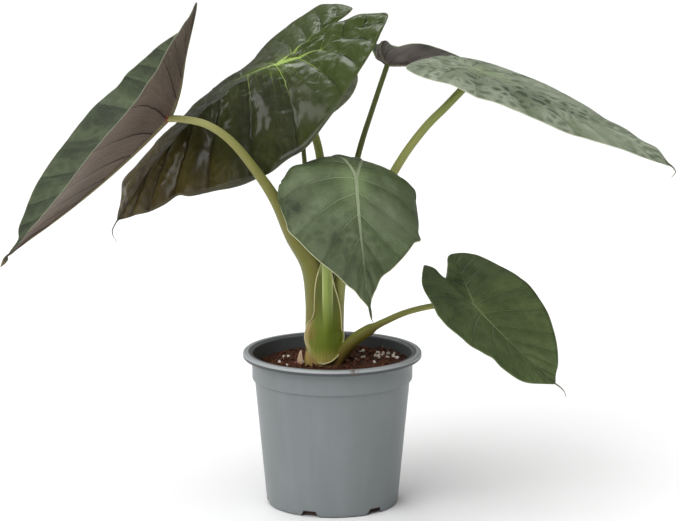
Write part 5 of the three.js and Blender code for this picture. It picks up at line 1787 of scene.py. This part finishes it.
def soil_height(x, y):
    lumps = math.sin(x * 0.21 + 1.3) * math.cos(y * 0.17) + 0.7 * math.sin(y * 0.31 + x * 0.12)
    return SOIL_LEVEL + SOIL_TILT * x + SOIL_LUMP * lumps * 0.6


def rough_soil(x, y):
    coarse = noise.noise(Vector((x / 6, y / 6, 3.1)))
    medium = noise.noise(Vector((x / 2.2, y / 2.2, 7.7)))
    return soil_height(x, y) + COARSE_LIFT * coarse + MEDIUM_LIFT * medium


def soil_outline():
    def beside_wall(z):
        return body_radius(z) - WALL - SOIL_CLEARANCE

    top = [(mix(SOIL_RADIUS, HOLE_RADIUS, k / SOIL_RINGS), SOIL_LEVEL) for k in range(SOIL_RINGS + 1)]
    return [
        (0, FLOOR + 0.3), (beside_wall(FLOOR) * 0.96, FLOOR + 0.3), (beside_wall(FLOOR + 4), FLOOR + 4),
        (beside_wall(BODY_MIDDLE), BODY_MIDDLE), (SOIL_RADIUS - 0.3, COLLAR_BOTTOM - 2), *top,
        (HOLE_RADIUS, HOLE_FLOOR), (0, HOLE_FLOOR),
    ]


def build_soil(material):
    """The hole is slid under the crown, and the corners of the top are lifted one by one."""
    mesh_maker = turned(soil_outline(), SOIL_STEPS)
    for corner in mesh_maker.verts:
        radius = math.hypot(corner.co.x, corner.co.y)
        in_upper_part = corner.co.z > HOLE_FLOOR - 1
        slide = clamp((SOIL_RADIUS - radius) / (SOIL_RADIUS - HOLE_RADIUS)) if in_upper_part else 0
        corner.co.x += CROWN[0] * slide
        corner.co.y += CROWN[1] * slide
        if corner.co.z > SOIL_LEVEL - 1:
            corner.co.z = rough_soil(corner.co.x, corner.co.y)
    return piece_from(mesh_maker, "potting_soil", [material], ["soil"])


def soil_finish(name, dark, light, roughness=0.9):
    material, tree, shader = new_finish(name, roughness, reflection=0.2)
    place = object_place(tree)
    grain = mask_of(noise_of(place, 420.0, 5.0, 0.7), 0.35, 0.65)
    patches = clouds(place, 90.0, 3.0, 0.35, 0.65)
    shade = scaled(grain, 0.6, times(patches, 0.4))
    colour = blend(shade, paint(*dark), paint(*light))
    lay_on(shader, colour, scaled(grain, 0.15, roughness - 0.1), grain, 0.0007)
    return material


soil = build_soil(soil_finish("potting soil", (40, 23, 17), (96, 60, 46)))
print("soil surface:", len(soil.data.polygons), "faces")

# %% [markdown]
# What makes it look like soil is what lies on it: bark chips, short fibres and white grains of
# perlite. All are scattered by one seeded random generator, so that they fall in the same places
# each time. Perlite floats up and gathers, so most of its grains fall in a few patches. A grain is
# a ball with only 20 faces, because there are hundreds of them.

# %% Bark, fibres and perlite
SEED = 7
BARK_CHIPS = 620
FIBRES = 420
PERLITE_GRAINS = 38
PERLITE_PATCHES = ((42, 20, 14), (50, 32, 11), (50, 8, 9), (-41, 12, 9))  # middle, spread
IN_A_PATCH = 0.75  # the chance that a grain falls in one
NEAREST_TO_CROWN = 19
INSIDE_WALL = 2.5
FIBRE_LENGTHS = (2.5, 8)
FIBRE_THICKNESS = (0.14, 0.34)


def soil_place(chance, lift, patches=()):
    """A random place on the soil outside the stem base, most often in one of the patches."""
    while True:
        angle = chance.uniform(0, 2 * math.pi)
        radius = (SOIL_RADIUS - INSIDE_WALL) * math.sqrt(chance.random())
        x, y = radius * math.cos(angle), radius * math.sin(angle)
        if patches and chance.random() < IN_A_PATCH:
            middle_x, middle_y, spread = chance.choice(patches)
            x, y = chance.gauss(middle_x, spread), chance.gauss(middle_y, spread)
        if math.hypot(x, y) < SOIL_RADIUS - INSIDE_WALL and distance((x, y), CROWN) > NEAREST_TO_CROWN:
            return Vector((x, y, rough_soil(x, y) + lift))


def turned_any_way(chance):
    axis = Vector((chance.gauss(0, 1), chance.gauss(0, 1), chance.gauss(0, 1))).normalized()
    return Matrix.Rotation(chance.uniform(0, math.pi), 3, axis)


def scatter_grains(count, sizes, flatness, chance, lift, patches=()):
    """Small rough lumps, each a 20-sided ball that is squashed, jittered and turned."""
    mesh_maker = bmesh.new()
    for _ in range(count):
        grain = bmesh.ops.create_icosphere(mesh_maker, subdivisions=1, radius=1)["verts"]
        size = chance.uniform(*sizes)
        stretch = Vector((size * chance.uniform(0.8, 1.9), size, size * chance.uniform(*flatness)))
        turn = turned_any_way(chance)
        place = soil_place(chance, lift, patches)
        for corner in grain:
            jitter = 1 + chance.uniform(-0.22, 0.22)
            corner.co = place + turn @ (corner.co * stretch) * jitter
    return mesh_maker


def fibre_stations(chance):
    """A short bent path that lies on the soil."""
    start = soil_place(chance, 0.5)
    heading = chance.uniform(0, 2 * math.pi)
    length = chance.uniform(*FIBRE_LENGTHS)
    way = Vector((math.cos(heading), math.sin(heading), chance.uniform(-0.1, 0.35)))
    bend = Vector((-way.y, way.x, chance.uniform(-0.3, 0.6))) * chance.uniform(-0.35, 0.35)
    thick = chance.uniform(*FIBRE_THICKNESS)
    stations = []
    for share in (0, 0.33, 0.66, 1):
        at = start + way * length * share + bend * length * share * share
        if math.hypot(at.x, at.y) > SOIL_RADIUS - 1.2:
            at.x, at.y = at.x * 0.93, at.y * 0.93
        stations.append((*at, thick, thick * 0.8, 0))
    return stations


def scatter_fibres(count, chance):
    """Short bent threads of peat and coir, each a thin tube with four sides."""
    mesh_maker, layers = new_tube_mesh()
    for _ in range(count):
        tube(mesh_maker, layers, stalk_frames(fibre_stations(chance), 0, 4), crescent, 4)
    turn_faces_out(mesh_maker)
    return mesh_maker


chance = random.Random(SEED)
bark_mesh = scatter_grains(BARK_CHIPS, (0.6, 2.3), (0.3, 0.8), chance, 0.4)
fibre_mesh = scatter_fibres(FIBRES, chance)
perlite_mesh = scatter_grains(PERLITE_GRAINS, (1.1, 2.3), (0.6, 1.0), chance, 0.8, PERLITE_PATCHES)
for crumb_mesh, name, finish, dark, light in (
        (bark_mesh, "bark_chips", "bark", (50, 27, 18), (138, 88, 64)),
        (fibre_mesh, "peat_fibres", "peat fibre", (62, 36, 26), (128, 86, 62)),
        (perlite_mesh, "perlite", "perlite", (226, 212, 196), (250, 245, 236))):
    crumbs = piece_from(crumb_mesh, name, [soil_finish(finish, dark, light)])
    print(name, len(crumbs.data.polygons), "faces")

# %% [markdown]
# The stem base, or corm, sits in a plain hole in the soil, and the stalks grow out of it. Only a
# little of its top shows between them. It is turned like the pot, then roughened by noise.

# %% Stem base
CORM_TOP = 133.9
CORM_GAP = 0.35
CORM_STEPS = 72
CORM_ROUND = 6  # how far its bottom edge is cut back


def corm_outline():
    radius = HOLE_RADIUS - CORM_GAP
    base = HOLE_FLOOR + CORM_GAP
    bottom = [(0, base), (radius - CORM_ROUND, base), (radius, base + CORM_ROUND)]
    side = [(radius, z) for z in range(108, 131, 4)]
    shoulder = [(radius - 0.8, CORM_TOP - 1.6), (radius - 2.5, CORM_TOP)]
    top = [(radius * k / 8, CORM_TOP + 1.5) for k in range(6, -1, -1)]
    return bottom + side + shoulder + top


def build_corm(material):
    mesh_maker = turned(corm_outline(), CORM_STEPS, CROWN)
    for corner in mesh_maker.verts:
        if corner.co.z > CORM_TOP - 3:
            corner.co.z += 1.1 * noise.noise(corner.co / 5)
    return piece_from(mesh_maker, "stem_base", [material], ["corm"])


build_corm(soil_finish("stem base", (84, 62, 40), (142, 118, 78), 0.7))
print("stem base:", 2 * (HOLE_RADIUS - CORM_GAP), "mm across")

# %% [markdown]
# The dried scale is the papery rest of an old leaf base that stands beside the stalks. It is a flat
# tube with a pointed end, in tan paper with darker lines along it.

# %% Dried scale
SCALE_STATIONS = (
    (-30.6, -7, 136.4, 2.4, 0.7, 0),
    (-30.8, -7.2, 141, 2.8, 0.7, 0.4),
    (-30.4, -7.4, 146, 1.8, 0.6, 0.3),
    (-29.6, -7.4, 150, 0.6, 0.5, 0),
)
SCALE_FINISH = stalk_finish("dried scale", (200, 156, 126), (240, 210, 178), (240, 212, 184), (140, 96, 74),
                            2.0, 0.4, 0.8)
scale_mesh, scale_layers = new_tube_mesh()
tube(scale_mesh, scale_layers, stalk_frames(SCALE_STATIONS, 250, 19), crescent, 20)
turn_faces_out(scale_mesh)
piece_from(scale_mesh, "papery_scale", [SCALE_FINISH], ["dried_scale"])
print("dried scale:", SCALE_STATIONS[-1][2] - SCALE_STATIONS[0][2], "mm tall")

# %% [markdown]
# The photograph shows the plant on pure white with soft light. A large pale floor gives the same
# even ground and throws light up under the leaves. Two wide suns do most of the work, one overhead
# and one from the front left, because a wide sun casts a soft shadow. A broad light from behind
# draws the edges of the blades, and a small one only puts the shine on the glossy leaf. A dim even
# sky fills the shadows.

# %% Floor and lights
FLOOR_SIZE = 30  # metres across
FLOOR_WHITE = (0.93, 0.93, 0.93, 1)
PLANT_MIDDLE = (0, 0, 0.3)
CENTRE_LEAF = (-0.07, -0.02, 0.4)
SKY_STRENGTH = 0.27


def build_floor():
    mesh_maker = bmesh.new()
    bmesh.ops.create_grid(mesh_maker, x_segments=1, y_segments=1, size=FLOOR_SIZE / 2)
    mesh = bpy.data.meshes.new("floor")
    mesh_maker.to_mesh(mesh)
    mesh_maker.free()
    floor = bpy.data.objects.new("floor", mesh)
    material, _, shader = new_finish("pale floor", 0.9, reflection=0.1)
    shader.inputs["Base Color"].default_value = FLOOR_WHITE
    mesh.materials.append(material)
    bpy.context.scene.collection.objects.link(floor)
    return floor


def add_light(light_data, way):
    """Puts a light in the scene and turns it so that it shines along a direction."""
    light = bpy.data.objects.new(light_data.name, light_data)
    light.rotation_euler = way.to_track_quat("-Z", "Y").to_euler()
    bpy.context.scene.collection.objects.link(light)
    return light


def area_light(name, place, aim, size, power):
    light_data = bpy.data.lights.new(name, "AREA")
    light_data.shape = "RECTANGLE"
    light_data.size, light_data.size_y = size
    light_data.energy = power
    light = add_light(light_data, Vector(aim) - Vector(place))
    light.location = place
    return light


def wide_sun(name, place, strength, spread):
    """A soft sun that shines from a place towards the plant's foot. The spread is in degrees."""
    light_data = bpy.data.lights.new(name, "SUN")
    light_data.energy = strength
    light_data.angle = math.radians(spread)
    return add_light(light_data, -Vector(place))


floor = build_floor()
overhead = wide_sun("overhead light", (-0.25, -0.3, 1), 2.35, 80)
overhead.visible_glossy = False  # it lights the leaves without a grey veil of shine
wide_sun("front left light", (-1.2, -1.6, 1.1), 1.15, 45)
area_light("back light", (-0.5, 1.3, 1.7), PLANT_MIDDLE, (0.9, 0.5), 9)
shine = area_light("shine on the glossy leaf", (-0.95, -0.01, 1.15), CENTRE_LEAF, (0.42, 0.34), 1.2)
shine.visible_diffuse = False  # it only shows as a highlight on the glossy leaf
shine.visible_camera = False
world = bpy.data.worlds.new("even sky")
world.use_nodes = True
sky = world.node_tree.nodes["Background"]
sky.inputs["Color"].default_value = (1, 1, 1, 1)
sky.inputs["Strength"].default_value = SKY_STRENGTH
bpy.context.scene.world = world
bpy.context.scene.view_settings.view_transform = "Standard"
print("lights:", len(bpy.data.lights))
